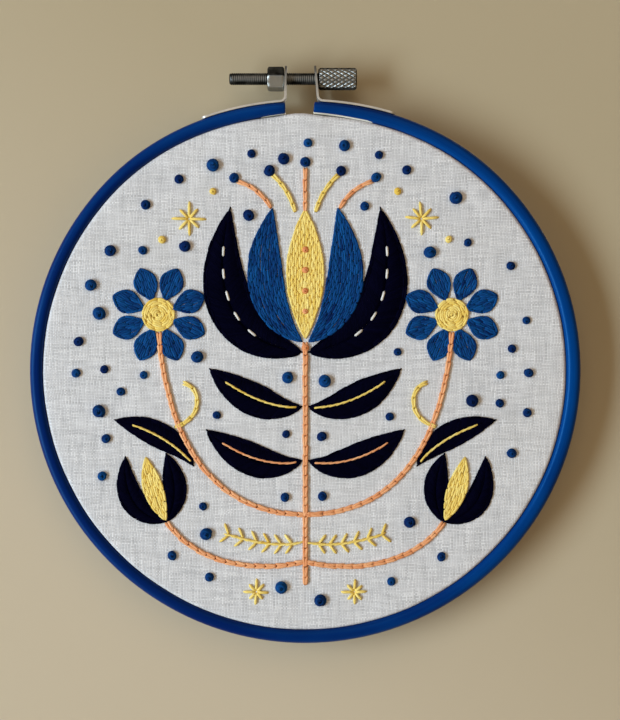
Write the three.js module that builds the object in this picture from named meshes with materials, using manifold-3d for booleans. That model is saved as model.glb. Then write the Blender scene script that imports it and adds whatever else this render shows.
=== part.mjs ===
// Embroidery hoop with stretched linen: two bamboo rings, a clamp screw and the cloth between them.
// Millimetres, +Z up, the cloth faces -Y. The origin is on the underside of the clamp screw,
// above the middle of the rings, where the hoop hangs.

import * as THREE from "three";
import { mergeVertices } from "three/addons/utils/BufferGeometryUtils.js";
import Module from "manifold-3d";

const wasm = await Module();
wasm.setup();

// Driving dimensions of the rings, which are a little wider than tall and drawn flatter at the top;
// the outer ring is thicker on its right, so its bore and all inside it lie a little to the left
const HOOP_WIDTH = 162.4;
const HOOP_HEIGHT = 161.2;
const HOOP_DEPTH = 8.5;
const OUTER_WALL = 4.1;
const INNER_WALL = 4.0;
const BORE_SHIFT = -0.25;
const EDGE_ROUND = 0.9;
const TOP_FLAT = 1.3;
const TOP_FLAT_REACH = Math.PI / 4;
const FIT_GAP = 0.3;

// The split at the top of the outer ring, and its ends shaved thinner on the inside
const SPLIT_LEFT = -5.95;
const SPLIT_RIGHT = 2.75;
const END_WALL = 3.6;
const SHAVED_LENGTH = 13.0;

// The cloth: thickness, the step back from the outer ring's front, and the roll over the inner ring
const CLOTH_THICK = 1.0;
const CLOTH_SETBACK = 0.4;
const CLOTH_ROLL = 1.4;
const CLOTH_TRIM = 0.3;
const RIPPLE_HEIGHT = 0.08;
const RIPPLE_COUNT = 22;
const HUMP_RISE = 0.6;
const HUMP_REACH = 8.0;
const RIM_SHARPNESS = 8;

// The clamp screw, its nut and the bent strips that carry them
const SCREW_HEIGHT = 86.2;
const SHANK_RADIUS = 1.75;
const SHANK_TIP = -22.3;
const SHANK_CHAMFER = 0.4;
const KNOB_RADIUS = 3.25;
const KNOB_LENGTH = 11.0;
const KNOB_CHAMFER = 0.5;
const NUT_SIDES = 6;
const NUT_FLATS = 6.3;
const NUT_LENGTH = 4.65;
const NUT_CHAMFER = 0.45;
const NUT_TURN_DEGREES = 18.5;
const STRIP_THICK = 0.6;
const STRIP_WIDTH = 7.0;
const STRIP_BEND = 1.6;
const EAR_RISE = 3.8;
const EAR_CORNER = 2.8;
const CLAMP_SIDES = [
  { side: "left", towards: -1, earX: -5.75, leanDegrees: 1.5, flangeEndX: -30.6 },
  { side: "right", towards: 1, earX: 3.2, leanDegrees: 5.0, flangeEndX: 26.6 },
];

// Facets
const RING_FACETS = 42;
const CLOTH_FACETS = 100;
const ROUND_FACETS = 24;
const BEVEL_FACETS = 2;
const ARC_FACETS = 6;
const FLANGE_FACETS = 12;
const MERGE_DISTANCE = 1e-4;

// Worked out from the driving dimensions
const HALF_WIDTH = HOOP_WIDTH / 2;
const HALF_HEIGHT = HOOP_HEIGHT / 2;
const FRONT = -HOOP_DEPTH / 2;
const BACK = HOOP_DEPTH / 2;
const CLOTH_INSET = OUTER_WALL + FIT_GAP;
const INNER_INSET = CLOTH_INSET + CLOTH_THICK + FIT_GAP;
const CLOTH_FRONT = FRONT + CLOTH_SETBACK;
const INNER_FRONT = CLOTH_FRONT + CLOTH_THICK + FIT_GAP;
const HOLE_RADIUS = SHANK_RADIUS + FIT_GAP;
const HANG_DROP = SCREW_HEIGHT - SHANK_RADIUS;
const [LEFT_CLAMP, RIGHT_CLAMP] = CLAMP_SIDES;

const paintedWood = new THREE.MeshStandardMaterial({ color: 0x0b3a7c, roughness: 0.45, metalness: 0 });
const bareWood = new THREE.MeshStandardMaterial({ color: 0xd9bd8c, roughness: 0.6, metalness: 0 });
const linen = new THREE.MeshStandardMaterial({ color: 0xdcdcd8, roughness: 0.9, metalness: 0 });
const stripSteel = new THREE.MeshStandardMaterial({ color: 0xb9b6ad, roughness: 0.35, metalness: 1 });
const screwSteel = new THREE.MeshStandardMaterial({ color: 0x9d988d, roughness: 0.3, metalness: 1 });

// Height of the hoop's oval at a sideways place, with the oval drawn in by an inset
function ovalHeight(x, inset) {
  const across = HALF_WIDTH - inset;
  const tall = HALF_HEIGHT - inset;
  return tall * Math.sqrt(1 - (x / across) ** 2);
}

// Angle on that oval, from +X, of a place on its upper half
function ovalAngle(x, inset) {
  return Math.acos(x / (HALF_WIDTH - inset));
}

// The clamp draws the top of the rings a little flat: how much of its distance from the middle
// a place on the hoop keeps
function keptShare(x, z) {
  const fromTop = Math.min(1, Math.abs(Math.atan2(x, z)) / TOP_FLAT_REACH);
  return 1 - (TOP_FLAT / HALF_HEIGHT) * Math.cos((fromTop * Math.PI) / 2) ** 2;
}

function flattenTop(geometry) {
  const place = geometry.attributes.position;
  for (let i = 0; i < place.count; i += 1) {
    const share = keptShare(place.getX(i), place.getZ(i));
    place.setXYZ(i, place.getX(i) * share, place.getY(i), place.getZ(i) * share);
  }
  geometry.computeVertexNormals();
  return geometry;
}

function toSolid(geometry) {
  const bare = geometry.clone();
  bare.deleteAttribute("normal");
  bare.deleteAttribute("uv");
  const merged = mergeVertices(bare, MERGE_DISTANCE);
  const vertProperties = new Float32Array(merged.attributes.position.array);
  const triVerts = new Uint32Array(merged.index.array);
  return new wasm.Manifold(new wasm.Mesh({ numProp: 3, vertProperties, triVerts }));
}

function toGeometry(solid) {
  const mesh = solid.getMesh();
  const geometry = new THREE.BufferGeometry();
  geometry.setAttribute("position", new THREE.BufferAttribute(mesh.vertProperties, 3));
  geometry.setIndex(new THREE.BufferAttribute(mesh.triVerts, 1));
  geometry.computeVertexNormals();
  return geometry;
}

// A plate whose outline is drawn in X and Z, with its thickness along Y between two depths
function standingPlate(shape, front, back, round, facets) {
  const geometry = new THREE.ExtrudeGeometry(shape, {
    depth: back - front - 2 * round,
    bevelEnabled: round > 0,
    bevelThickness: round,
    bevelSize: round,
    bevelOffset: -round,
    bevelSegments: BEVEL_FACETS,
    curveSegments: facets,
    steps: 1,
  });
  geometry.translate(0, 0, round - back);
  geometry.rotateX(Math.PI / 2);
  return geometry;
}

// Split ring: long outer arc, a shaved end, long inner arc, the other shaved end
function outerRingGeometry() {
  const shavedLeft = SPLIT_LEFT - SHAVED_LENGTH;
  const shavedRight = SPLIT_RIGHT + SHAVED_LENGTH;
  const innerAcross = HALF_WIDTH - OUTER_WALL;
  const innerTall = HALF_HEIGHT - OUTER_WALL;
  const turn = 2 * Math.PI;
  const shape = new THREE.Shape();
  shape.absellipse(0, 0, HALF_WIDTH, HALF_HEIGHT,
    ovalAngle(SPLIT_LEFT, 0), ovalAngle(SPLIT_RIGHT, 0) + turn, false, 0);
  shape.lineTo(SPLIT_RIGHT, ovalHeight(SPLIT_RIGHT, 0) - END_WALL);
  shape.absellipse(BORE_SHIFT, 0, innerAcross, innerTall,
    ovalAngle(shavedRight - BORE_SHIFT, OUTER_WALL) + turn,
    ovalAngle(shavedLeft - BORE_SHIFT, OUTER_WALL), true, 0);
  shape.lineTo(SPLIT_LEFT, ovalHeight(SPLIT_LEFT, 0) - END_WALL);
  shape.closePath();
  return flattenTop(standingPlate(shape, FRONT, BACK, EDGE_ROUND, RING_FACETS));
}

function innerRingGeometry() {
  const across = HALF_WIDTH - INNER_INSET;
  const tall = HALF_HEIGHT - INNER_INSET;
  const shape = new THREE.Shape();
  shape.absellipse(BORE_SHIFT, 0, across, tall, 0, 2 * Math.PI, false, 0);
  const opening = new THREE.Path();
  opening.absellipse(BORE_SHIFT, 0, across - INNER_WALL, tall - INNER_WALL, 0, 2 * Math.PI, true, 0);
  shape.holes.push(opening);
  return flattenTop(standingPlate(shape, INNER_FRONT, BACK, EDGE_ROUND, RING_FACETS));
}

// Section of the stretched cloth from the middle of its front, over the roll, down the skirt and back
function clothSection(rim) {
  const innerRoll = CLOTH_ROLL - CLOTH_THICK;
  const skirtEnd = BACK - CLOTH_TRIM;
  const rollY = CLOTH_FRONT + CLOTH_ROLL;
  const flatShares = [0, 0.3, 0.55, 0.75, 0.9];
  const section = flatShares.map((share) => new THREE.Vector2(share * rim, CLOTH_FRONT));
  for (let step = 0; step <= ARC_FACETS; step += 1) {
    const angle = (step / ARC_FACETS) * (Math.PI / 2);
    section.push(new THREE.Vector2(
      rim - CLOTH_ROLL + CLOTH_ROLL * Math.sin(angle),
      rollY - CLOTH_ROLL * Math.cos(angle),
    ));
  }
  section.push(new THREE.Vector2(rim, skirtEnd));
  section.push(new THREE.Vector2(rim - CLOTH_THICK, skirtEnd));
  for (let step = ARC_FACETS; step >= 0; step -= ARC_FACETS / 2) {
    const angle = (step / ARC_FACETS) * (Math.PI / 2);
    section.push(new THREE.Vector2(
      rim - CLOTH_ROLL + innerRoll * Math.sin(angle),
      rollY - innerRoll * Math.cos(angle),
    ));
  }
  flatShares.reverse();
  for (const share of flatShares) {
    section.push(new THREE.Vector2(share * rim, CLOTH_FRONT + CLOTH_THICK));
  }
  return section;
}

// Round of cloth turned from its section, drawn to the oval, with soft ripples near the rim
// and a hump where the split leaves it free
function clothGeometry() {
  const across = HALF_WIDTH - CLOTH_INSET;
  const tall = HALF_HEIGHT - CLOTH_INSET;
  const rim = (across + tall) / 2;
  const splitMiddle = (SPLIT_LEFT + SPLIT_RIGHT) / 2;
  const geometry = new THREE.LatheGeometry(clothSection(rim), CLOTH_FACETS);
  geometry.scale(across / rim, 1, tall / rim);
  geometry.translate(BORE_SHIFT, 0, 0);
  const place = geometry.attributes.position;
  for (let i = 0; i < place.count; i += 1) {
    const x = place.getX(i);
    const z = place.getZ(i);
    const share = Math.hypot((x - BORE_SHIFT) / across, z / tall);
    const ripple = RIPPLE_HEIGHT * Math.sin(RIPPLE_COUNT * Math.atan2(z, x)) * share ** RIM_SHARPNESS;
    const besideSplit = Math.min(1, Math.abs(x - splitMiddle) / HUMP_REACH);
    const freed = z > 0 ? Math.cos((besideSplit * Math.PI) / 2) ** 2 : 0;
    const hump = HUMP_RISE * freed * share ** RIM_SHARPNESS;
    place.setXYZ(i, x, place.getY(i) + ripple * (1 - freed), z + hump);
  }
  return flattenTop(geometry);
}

// Outline of a strip of even thickness along a path
function stripShape(path) {
  const points = path.getPoints(ARC_FACETS);
  const near = [];
  const far = [];
  points.forEach((point, i) => {
    const before = points[Math.max(i - 1, 0)];
    const after = points[Math.min(i + 1, points.length - 1)];
    const along = after.clone().sub(before).normalize();
    const out = new THREE.Vector2(-along.y, along.x).multiplyScalar(STRIP_THICK / 2);
    near.push(point.clone().sub(out));
    far.unshift(point.clone().add(out));
  });
  return new THREE.Shape([...near, ...far]);
}

// Tab outline seen along the screw: straight sides and two rounded top corners
function earOutlineSolid() {
  const half = STRIP_WIDTH / 2;
  const top = SCREW_HEIGHT + EAR_RISE;
  const shape = new THREE.Shape();
  shape.moveTo(-half, 0);
  shape.lineTo(half, 0);
  shape.lineTo(half, top - EAR_CORNER);
  shape.absarc(half - EAR_CORNER, top - EAR_CORNER, EAR_CORNER, 0, Math.PI / 2, false);
  shape.absarc(EAR_CORNER - half, top - EAR_CORNER, EAR_CORNER, Math.PI / 2, Math.PI, false);
  shape.closePath();
  const geometry = new THREE.ExtrudeGeometry(shape, {
    depth: HOOP_WIDTH,
    bevelEnabled: false,
    curveSegments: ARC_FACETS,
  });
  geometry.translate(0, 0, -HALF_WIDTH);
  geometry.rotateX(Math.PI / 2);
  geometry.rotateZ(Math.PI / 2);
  return toSolid(geometry);
}

// Places along the flattened oval between two sideways places, at an outset
function placesAlongOval(startX, endX, inset) {
  const startAngle = ovalAngle(startX, inset);
  const endAngle = ovalAngle(endX, inset);
  const places = [];
  for (let step = 0; step <= FLANGE_FACETS; step += 1) {
    const angle = THREE.MathUtils.lerp(startAngle, endAngle, step / FLANGE_FACETS);
    const x = (HALF_WIDTH - inset) * Math.cos(angle);
    const z = (HALF_HEIGHT - inset) * Math.sin(angle);
    places.push(new THREE.Vector2(x, z).multiplyScalar(keptShare(x, z)));
  }
  return places;
}

// Bent strip: a flange along the outside of the ring, a round bend and a standing ear with a hole
function bracketGeometry({ towards, earX, leanDegrees, flangeEndX }) {
  const outset = -(FIT_GAP + STRIP_THICK / 2);
  const lean = THREE.MathUtils.degToRad(leanDegrees);
  const up = new THREE.Vector2(-towards * Math.sin(lean), Math.cos(lean));
  const axisPoint = new THREE.Vector2(earX, SCREW_HEIGHT);
  const ringTop = ovalHeight(earX, outset);
  const footDrop = (SCREW_HEIGHT - ringTop * keptShare(earX, ringTop)) / up.y;
  const foot = axisPoint.clone().addScaledVector(up, -footDrop);
  const bendEnd = foot.clone().addScaledVector(up, STRIP_BEND);
  const top = axisPoint.clone().addScaledVector(up, EAR_RISE * 2);
  const path = new THREE.Path(placesAlongOval(flangeEndX, foot.x + towards * STRIP_BEND, outset));
  path.quadraticCurveTo(foot.x, foot.y, bendEnd.x, bendEnd.y);
  path.lineTo(top.x, top.y);
  const strip = standingPlate(stripShape(path), -STRIP_WIDTH / 2, STRIP_WIDTH / 2, 0, ARC_FACETS);
  const drill = new THREE.CylinderGeometry(HOLE_RADIUS, HOLE_RADIUS, STRIP_WIDTH, ROUND_FACETS);
  drill.rotateZ(Math.PI / 2);
  drill.translate(earX, 0, SCREW_HEIGHT);
  return toGeometry(toSolid(strip).intersect(earOutlineSolid()).subtract(toSolid(drill)));
}

// Turned piece along X from a section of radius and sideways place
function turnedAlongX(section) {
  const geometry = new THREE.LatheGeometry(section, ROUND_FACETS);
  geometry.rotateZ(-Math.PI / 2);
  geometry.translate(0, 0, SCREW_HEIGHT);
  return geometry;
}

// Sideways reach of a leaning ear's outer face over a washer-like contact of a given radius
function earOuterFace({ towards, earX, leanDegrees }, contactRadius) {
  const lean = THREE.MathUtils.degToRad(leanDegrees);
  const halfStrip = STRIP_THICK / 2 / Math.cos(lean);
  return earX + towards * (halfStrip + contactRadius * Math.tan(lean) + FIT_GAP);
}

function thumbScrewGeometry() {
  const knobStart = earOuterFace(RIGHT_CLAMP, KNOB_RADIUS);
  const knobEnd = knobStart + KNOB_LENGTH;
  return turnedAlongX([
    new THREE.Vector2(0, SHANK_TIP),
    new THREE.Vector2(SHANK_RADIUS - SHANK_CHAMFER, SHANK_TIP),
    new THREE.Vector2(SHANK_RADIUS, SHANK_TIP + SHANK_CHAMFER),
    new THREE.Vector2(SHANK_RADIUS, knobStart),
    new THREE.Vector2(KNOB_RADIUS - KNOB_CHAMFER, knobStart),
    new THREE.Vector2(KNOB_RADIUS, knobStart + KNOB_CHAMFER),
    new THREE.Vector2(KNOB_RADIUS, knobEnd - KNOB_CHAMFER),
    new THREE.Vector2(KNOB_RADIUS - KNOB_CHAMFER, knobEnd),
    new THREE.Vector2(0, knobEnd),
  ]);
}

// Hexagon with one corner a little above its front, its corners turned down at both ends
// and bored for the shank
function nutGeometry() {
  const corner = NUT_FLATS / 2 / Math.cos(Math.PI / NUT_SIDES);
  const nutEnd = earOuterFace(LEFT_CLAMP, corner);
  const nutStart = nutEnd - NUT_LENGTH;
  const middle = (nutStart + nutEnd) / 2;
  const hexagon = new THREE.CylinderGeometry(corner, corner, NUT_LENGTH, NUT_SIDES);
  hexagon.rotateZ(-Math.PI / 2);
  hexagon.rotateX(THREE.MathUtils.degToRad(NUT_TURN_DEGREES));
  hexagon.translate(middle, 0, SCREW_HEIGHT);
  const turnedDown = turnedAlongX([
    new THREE.Vector2(0, nutStart),
    new THREE.Vector2(corner - NUT_CHAMFER, nutStart),
    new THREE.Vector2(corner + NUT_CHAMFER, nutStart + NUT_CHAMFER),
    new THREE.Vector2(corner + NUT_CHAMFER, nutEnd - NUT_CHAMFER),
    new THREE.Vector2(corner - NUT_CHAMFER, nutEnd),
    new THREE.Vector2(0, nutEnd),
  ]);
  const bore = new THREE.CylinderGeometry(HOLE_RADIUS, HOLE_RADIUS, 2 * NUT_LENGTH, ROUND_FACETS);
  bore.rotateZ(Math.PI / 2);
  bore.translate(middle, 0, SCREW_HEIGHT);
  return toGeometry(toSolid(hexagon).intersect(toSolid(turnedDown)).subtract(toSolid(bore)));
}

function named(name, geometry, material) {
  const mesh = new THREE.Mesh(geometry, material);
  mesh.name = name;
  return mesh;
}

// The rings and clamp are drawn about the middle of the rings, then hung from the screw's underside
const hoop = new THREE.Group();
hoop.add(named("outer_ring", outerRingGeometry(), paintedWood));
hoop.add(named("inner_ring", innerRingGeometry(), bareWood));
hoop.add(named("cloth", clothGeometry(), linen));
for (const clampSide of CLAMP_SIDES) {
  hoop.add(named(`bracket_${clampSide.side}`, bracketGeometry(clampSide), stripSteel));
}
hoop.add(named("thumb_screw", thumbScrewGeometry(), screwSteel));
hoop.add(named("nut", nutGeometry(), screwSteel));
hoop.position.z = -HANG_DROP;

const part = new THREE.Group();
part.add(hoop);
export default part;
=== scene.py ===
# %% [markdown]
# An embroidery hoop is a small machine for keeping cloth flat: two bamboo rings, one inside the other,
# a round of linen caught between them, and a clamp screw that draws the split outer ring tight.
# This lesson dresses the measured model of such a hoop: every ring, strip, screw and stitch is made in
# Blender, in metres, in the model's own frame, with the stitched front facing -Y and +Z up.

# %% Load the model and keep its box
import math

import bmesh
import bpy
import numpy as np
from mathutils import Matrix, Vector


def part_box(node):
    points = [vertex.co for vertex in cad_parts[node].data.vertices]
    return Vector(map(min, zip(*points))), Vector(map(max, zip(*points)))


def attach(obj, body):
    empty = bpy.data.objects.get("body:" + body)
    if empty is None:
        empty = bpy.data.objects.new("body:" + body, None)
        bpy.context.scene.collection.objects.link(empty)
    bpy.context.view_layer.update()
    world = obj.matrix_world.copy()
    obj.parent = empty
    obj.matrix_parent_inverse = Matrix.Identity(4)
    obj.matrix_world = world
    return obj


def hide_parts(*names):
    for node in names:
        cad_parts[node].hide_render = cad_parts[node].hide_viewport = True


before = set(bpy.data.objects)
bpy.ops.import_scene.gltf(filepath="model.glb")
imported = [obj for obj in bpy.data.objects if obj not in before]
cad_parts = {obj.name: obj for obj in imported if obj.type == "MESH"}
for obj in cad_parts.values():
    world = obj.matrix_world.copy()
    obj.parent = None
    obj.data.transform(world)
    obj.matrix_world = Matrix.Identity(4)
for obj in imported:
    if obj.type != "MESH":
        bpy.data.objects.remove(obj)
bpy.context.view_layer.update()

MM = 0.001

# %% [markdown]
# All later sizes hang on a few measures. The ring's width and depth, the place of its bore, the screw and
# the nut are read from the model, so that the looks stay on the solids. The ring's height, the flattening
# of its top by the clamp, the walls, the rounded edges and the cloth's thickness are sizes that a maker
# would know, and they are named here once.

# %% Measures taken from the model, and the maker's own sizes
ring_low, ring_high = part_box("outer_ring")
inner_low, inner_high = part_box("inner_ring")
screw_low, screw_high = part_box("thumb_screw")
nut_low, nut_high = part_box("nut")

HALF_WIDTH = (ring_high.x - ring_low.x) / 2
HALF_HEIGHT = 80.6 * MM
HOOP_RADIUS = (HALF_WIDTH + HALF_HEIGHT) / 2
TOP_FLAT = 1.3 * MM
TOP_FLAT_REACH = math.pi / 4
FRONT = ring_low.y
BACK = ring_high.y
MIDDLE_Z = ring_low.z + HALF_HEIGHT
BORE_SHIFT = (inner_high.x + inner_low.x) / 2
SCREW_Z = (screw_high.z + screw_low.z) / 2

OUTER_WALL = 4.1 * MM
END_WALL = 3.6 * MM
SHAVED_LENGTH = 13.0 * MM
INNER_WALL = 4.0 * MM
EDGE_ROUND = 1.0 * MM
FRONT_ROUND = 1.7 * MM
SPLIT_LEFT = -5.95 * MM
SPLIT_RIGHT = 2.75 * MM
CLOTH_THICK = 0.5 * MM
CLOTH_FRONT = FRONT + 0.4 * MM
CLOTH_BACK = CLOTH_FRONT + CLOTH_THICK
print("hoop", round(2 * HALF_WIDTH / MM, 1), "by", round(2 * HALF_HEIGHT / MM, 1), "mm")

# %% [markdown]
# The camera stands in front of the hoop, a little above its middle, at about arm's length, which is close
# enough for the rings to show a touch of perspective. The lens is worked out from the width that has to
# fit across the picture.

# %% Camera
PICTURE_WIDTH = 182.06 * MM
SENSOR_WIDTH = 36.0
CAMERA_DISTANCE = 0.43
CAMERA_RISE = math.radians(2.5)
AIM_RIGHT = 1.38 * MM
AIM_RISE = 3.68 * MM


def add_object(name, data):
    """A new object in the scene."""
    made = bpy.data.objects.new(name, data)
    bpy.context.scene.collection.objects.link(made)
    return made


def facing(direction):
    """The turn of a camera or a lamp that looks in a direction."""
    return direction.to_track_quat("-Z", "Y").to_euler()


camera_data = bpy.data.cameras.new("portrait_camera")
camera_data.sensor_fit = "HORIZONTAL"
camera_data.sensor_width = SENSOR_WIDTH
camera_data.lens = SENSOR_WIDTH * CAMERA_DISTANCE / PICTURE_WIDTH
towards_camera = Vector((0, -math.cos(CAMERA_RISE), math.sin(CAMERA_RISE)))
camera = add_object("portrait_camera", camera_data)
camera.location = Vector((AIM_RIGHT, FRONT, MIDDLE_Z + AIM_RISE)) + towards_camera * CAMERA_DISTANCE
camera.rotation_euler = facing(-towards_camera)
bpy.context.scene.camera = camera
print("lens", round(camera_data.lens, 1), "mm at", CAMERA_DISTANCE, "m")

# %% [markdown]
# Shader trees are built by code, so a few small helpers keep every later material readable: one adds a
# node, sets it and fills its inputs with values or links, and the others each do one common sum. Soft
# noise keeps mostly to the middle of its range, so that span is named too.

# %% Helpers for shader trees
COLOUR_A, COLOUR_B, COLOUR_RESULT = 6, 7, 2
FLOAT_A, FLOAT_B, FLOAT_RESULT = 2, 3, 0
VALUE = "NodeSocketFloat"
VECTOR = "NodeSocketVector"
NOISE_SPAN = (0.3, 0.7)


def fill(tree, made, inputs):
    """Fills a node's inputs with values or links."""
    for socket, value in inputs.items():
        if isinstance(value, bpy.types.NodeSocket):
            tree.links.new(value, made.inputs[socket])
        else:
            made.inputs[socket].default_value = value


def put(tree, kind, inputs=None, **settings):
    """Adds a node, sets its properties, then fills its inputs."""
    made = tree.nodes.new(kind)
    for name, value in settings.items():
        setattr(made, name, value)
    fill(tree, made, inputs or {})
    return made


def sums(tree, operation, first, second=0.0, third=0.0):
    """One Math node; each of its inputs is a value or a link."""
    made = put(tree, "ShaderNodeMath", {0: first, 1: second, 2: third}, operation=operation)
    return made.outputs["Value"]


def varied(tree, base, value, amount):
    """A base that noise raises and lowers about its middle."""
    return sums(tree, "MULTIPLY_ADD", sums(tree, "SUBTRACT", value, 0.5), amount, base)


def blend(tree, share, first, second):
    """A share of one value and the rest of another."""
    return sums(tree, "MULTIPLY_ADD", first, share, sums(tree, "MULTIPLY", second, 1 - share))


def towards(tree, vector, direction):
    """How far a place lies in a direction."""
    made = put(tree, "ShaderNodeVectorMath", {0: vector, 1: direction}, operation="DOT_PRODUCT")
    return made.outputs["Value"]


def between(tree, share, low, high):
    """A colour between two others, by a share from 0 to 1."""
    colours = {0: share, COLOUR_A: low, COLOUR_B: high}
    return put(tree, "ShaderNodeMix", colours, data_type="RGBA").outputs[COLOUR_RESULT]


def spread(tree, value, from_low, from_high, to_low, to_high):
    """Moves a value from one range to another and keeps it inside."""
    made = put(tree, "ShaderNodeMapRange", {
        "Value": value, "From Min": from_low, "From Max": from_high,
        "To Min": to_low, "To Max": to_high})
    return made.outputs["Result"]


def stretched(tree, vector, scale):
    """The same coordinates, scaled along each axis."""
    return put(tree, "ShaderNodeMapping", {"Vector": vector, "Scale": scale}).outputs["Vector"]


def noise(tree, vector, scale=1.0, detail=2.0):
    """Soft noise from 0 to 1."""
    inputs = {"Vector": vector, "Scale": scale, "Detail": detail}
    return put(tree, "ShaderNodeTexNoise", inputs).outputs["Fac"]


def bumped(tree, height, strength, distance):
    """A normal from a height."""
    inputs = {"Height": height, "Strength": strength, "Distance": distance}
    return put(tree, "ShaderNodeBump", inputs).outputs["Normal"]


def object_place(tree):
    """The place on the object, in metres from the frame's origin."""
    return put(tree, "ShaderNodeTexCoord").outputs["Object"]


def mesh_value(tree, name):
    """A value that the mesh carries on each vertex."""
    return put(tree, "ShaderNodeAttribute", attribute_name=name).outputs["Fac"]


def mesh_map(tree, name):
    """A flat map that the mesh carries."""
    return put(tree, "ShaderNodeUVMap", uv_map=name).outputs["UV"]


def new_finish(name):
    """A new material, its tree and its Principled shader."""
    material = bpy.data.materials.new(name)
    material.use_nodes = True
    tree = material.node_tree
    return material, tree, tree.nodes["Principled BSDF"]


def new_group(name, inputs, outputs):
    """A shader node group, its input sockets by name and its output node."""
    group = bpy.data.node_groups.new(name, "ShaderNodeTree")
    for socket, kind in inputs.items():
        group.interface.new_socket(socket, in_out="INPUT", socket_type=kind)
    for socket, kind in outputs.items():
        group.interface.new_socket(socket, in_out="OUTPUT", socket_type=kind)
    return group, put(group, "NodeGroupInput").outputs, put(group, "NodeGroupOutput")


def use_group(tree, group, **inputs):
    """Places a group in a material and hands back its outputs."""
    return put(tree, "ShaderNodeGroup", inputs, node_tree=group).outputs


print("shader helpers ready")

# %% [markdown]
# The stage is a pale sweep: a floor below the hoop that curves up into a backdrop just behind it, so the
# hoop throws a soft shadow close by. It could be two planes, but a rounded corner hides the join. Here a
# short chain of vertices gets its round corner from spin, and the chain is extruded sideways. Its colour is
# painted lighter to the lower left, a painted pool of light. It lets shadow rays through and shows nothing
# from behind, so that the hoop's back can be lit and seen.

# %% Stage
BACKDROP_GAP = 3.3 * MM
FLOOR_DROP = 0.2
SWEEP_ROUND = 0.06
STAGE_REACH = 1.6
SWEEP_STEPS = 12
STAGE_PAINTED_LIGHT_SIDE = (-0.55, 0, -0.83)
STAGE_PAINTED_LIGHT_AT = 0.17
DARKEST_SHADE = -0.1
MOTTLE_SCALE = 9.0
MOTTLE_SHARE = 0.2
STAGE_DARK = (0.472, 0.400, 0.263, 1)
STAGE_LIGHT = (0.590, 0.507, 0.368, 1)


def stage_finish():
    material, tree, shader = new_finish("pale_stage")
    place = object_place(tree)
    mottle = noise(tree, place, MOTTLE_SCALE, 3.0)
    # Painted light: the stage's colour is lighter towards the lower left.
    side = towards(tree, place, STAGE_PAINTED_LIGHT_SIDE)
    painted_falloff = spread(tree, side, 0.0, STAGE_PAINTED_LIGHT_AT, DARKEST_SHADE, 1.0)
    shade = sums(tree, "MULTIPLY_ADD", mottle, MOTTLE_SHARE, painted_falloff)
    fill(tree, shader, {
        "Base Color": between(tree, shade, STAGE_DARK, STAGE_LIGHT),
        "Roughness": 0.85, "Specular IOR Level": 0.2})
    clear = put(tree, "ShaderNodeBsdfTransparent").outputs["BSDF"]
    behind = put(tree, "ShaderNodeNewGeometry").outputs["Backfacing"]
    shadow = put(tree, "ShaderNodeLightPath").outputs["Is Shadow Ray"]
    hidden = sums(tree, "MAXIMUM", behind, shadow)
    mixed = put(tree, "ShaderNodeMixShader", {0: hidden, 1: shader.outputs["BSDF"], 2: clear})
    fill(tree, tree.nodes["Material Output"], {"Surface": mixed.outputs["Shader"]})
    return material


def make_stage():
    backdrop_y = BACK + BACKDROP_GAP
    floor_z = MIDDLE_Z - FLOOR_DROP
    bm = bmesh.new()
    corner = bm.verts.new((-STAGE_REACH, backdrop_y - SWEEP_ROUND, floor_z))
    curve_middle = (-STAGE_REACH, backdrop_y - SWEEP_ROUND, floor_z + SWEEP_ROUND)
    bmesh.ops.spin(bm, geom=[corner], cent=curve_middle, axis=(1, 0, 0), dvec=(0, 0, 0),
                   angle=math.pi / 2, steps=SWEEP_STEPS, use_duplicate=False)
    curve_top = max(bm.verts, key=lambda vert: vert.co.z)
    floor_front = bm.verts.new((-STAGE_REACH, -STAGE_REACH, floor_z))
    backdrop_top = bm.verts.new((-STAGE_REACH, backdrop_y, MIDDLE_Z + STAGE_REACH))
    bm.edges.new((floor_front, corner))
    bm.edges.new((curve_top, backdrop_top))
    drawn = bmesh.ops.extrude_edge_only(bm, edges=bm.edges[:])["geom"]
    far_side = [item for item in drawn if isinstance(item, bmesh.types.BMVert)]
    bmesh.ops.translate(bm, vec=(2 * STAGE_REACH, 0, 0), verts=far_side)
    bmesh.ops.recalc_face_normals(bm, faces=bm.faces[:])
    floor = min(bm.faces, key=lambda face: face.calc_center_median().y)
    if floor.normal.z < 0:
        bmesh.ops.reverse_faces(bm, faces=bm.faces[:])
    mesh = bpy.data.meshes.new("stage")
    bm.to_mesh(mesh)
    bm.free()
    mesh.shade_smooth()
    mesh.materials.append(stage_finish())
    stage = add_object("stage", mesh)
    return stage


stage = make_stage()
print("stage of", len(stage.data.polygons), "faces")

# %% [markdown]
# Studio light. A tall cool light far to the left is the key: it gives the knots and the ring their small
# shadows to the right. A weak warm one fills from the right, another from above the front, which leaves
# the ground under the ring a little darker, and one stands behind for whoever looks at the back. A dim
# warm world keeps the darkest thread from going flat. Area lights are used because their size sets how
# soft the shadows are, and these are ellipses, so that the key can be taller than it is wide.

# %% Light
LIGHTS = [
    {"name": "key_left", "from": (-1.68, -1.24, -0.25), "size": (0.75, 2.1), "watts": 50.0,
     "tint": (0.725, 0.87, 1.0)},
    {"name": "fill_right", "from": (0.7, -0.8, -0.1), "size": (0.9, 0.9), "watts": 0.5,
     "tint": (1.0, 0.70, 0.40)},
    {"name": "fill_top", "from": (0.0, -0.8, 0.6), "size": (0.9, 0.9), "watts": 1.8,
     "tint": (1.0, 0.85, 0.70)},
    {"name": "behind", "from": (0.35, 0.9, 0.45), "size": (0.8, 0.8), "watts": 5.0,
     "tint": (1.0, 0.98, 0.96)},
]
WORLD_STRENGTH = 0.225
WORLD_TINT = (1.0, 0.69, 0.41, 1)

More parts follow.
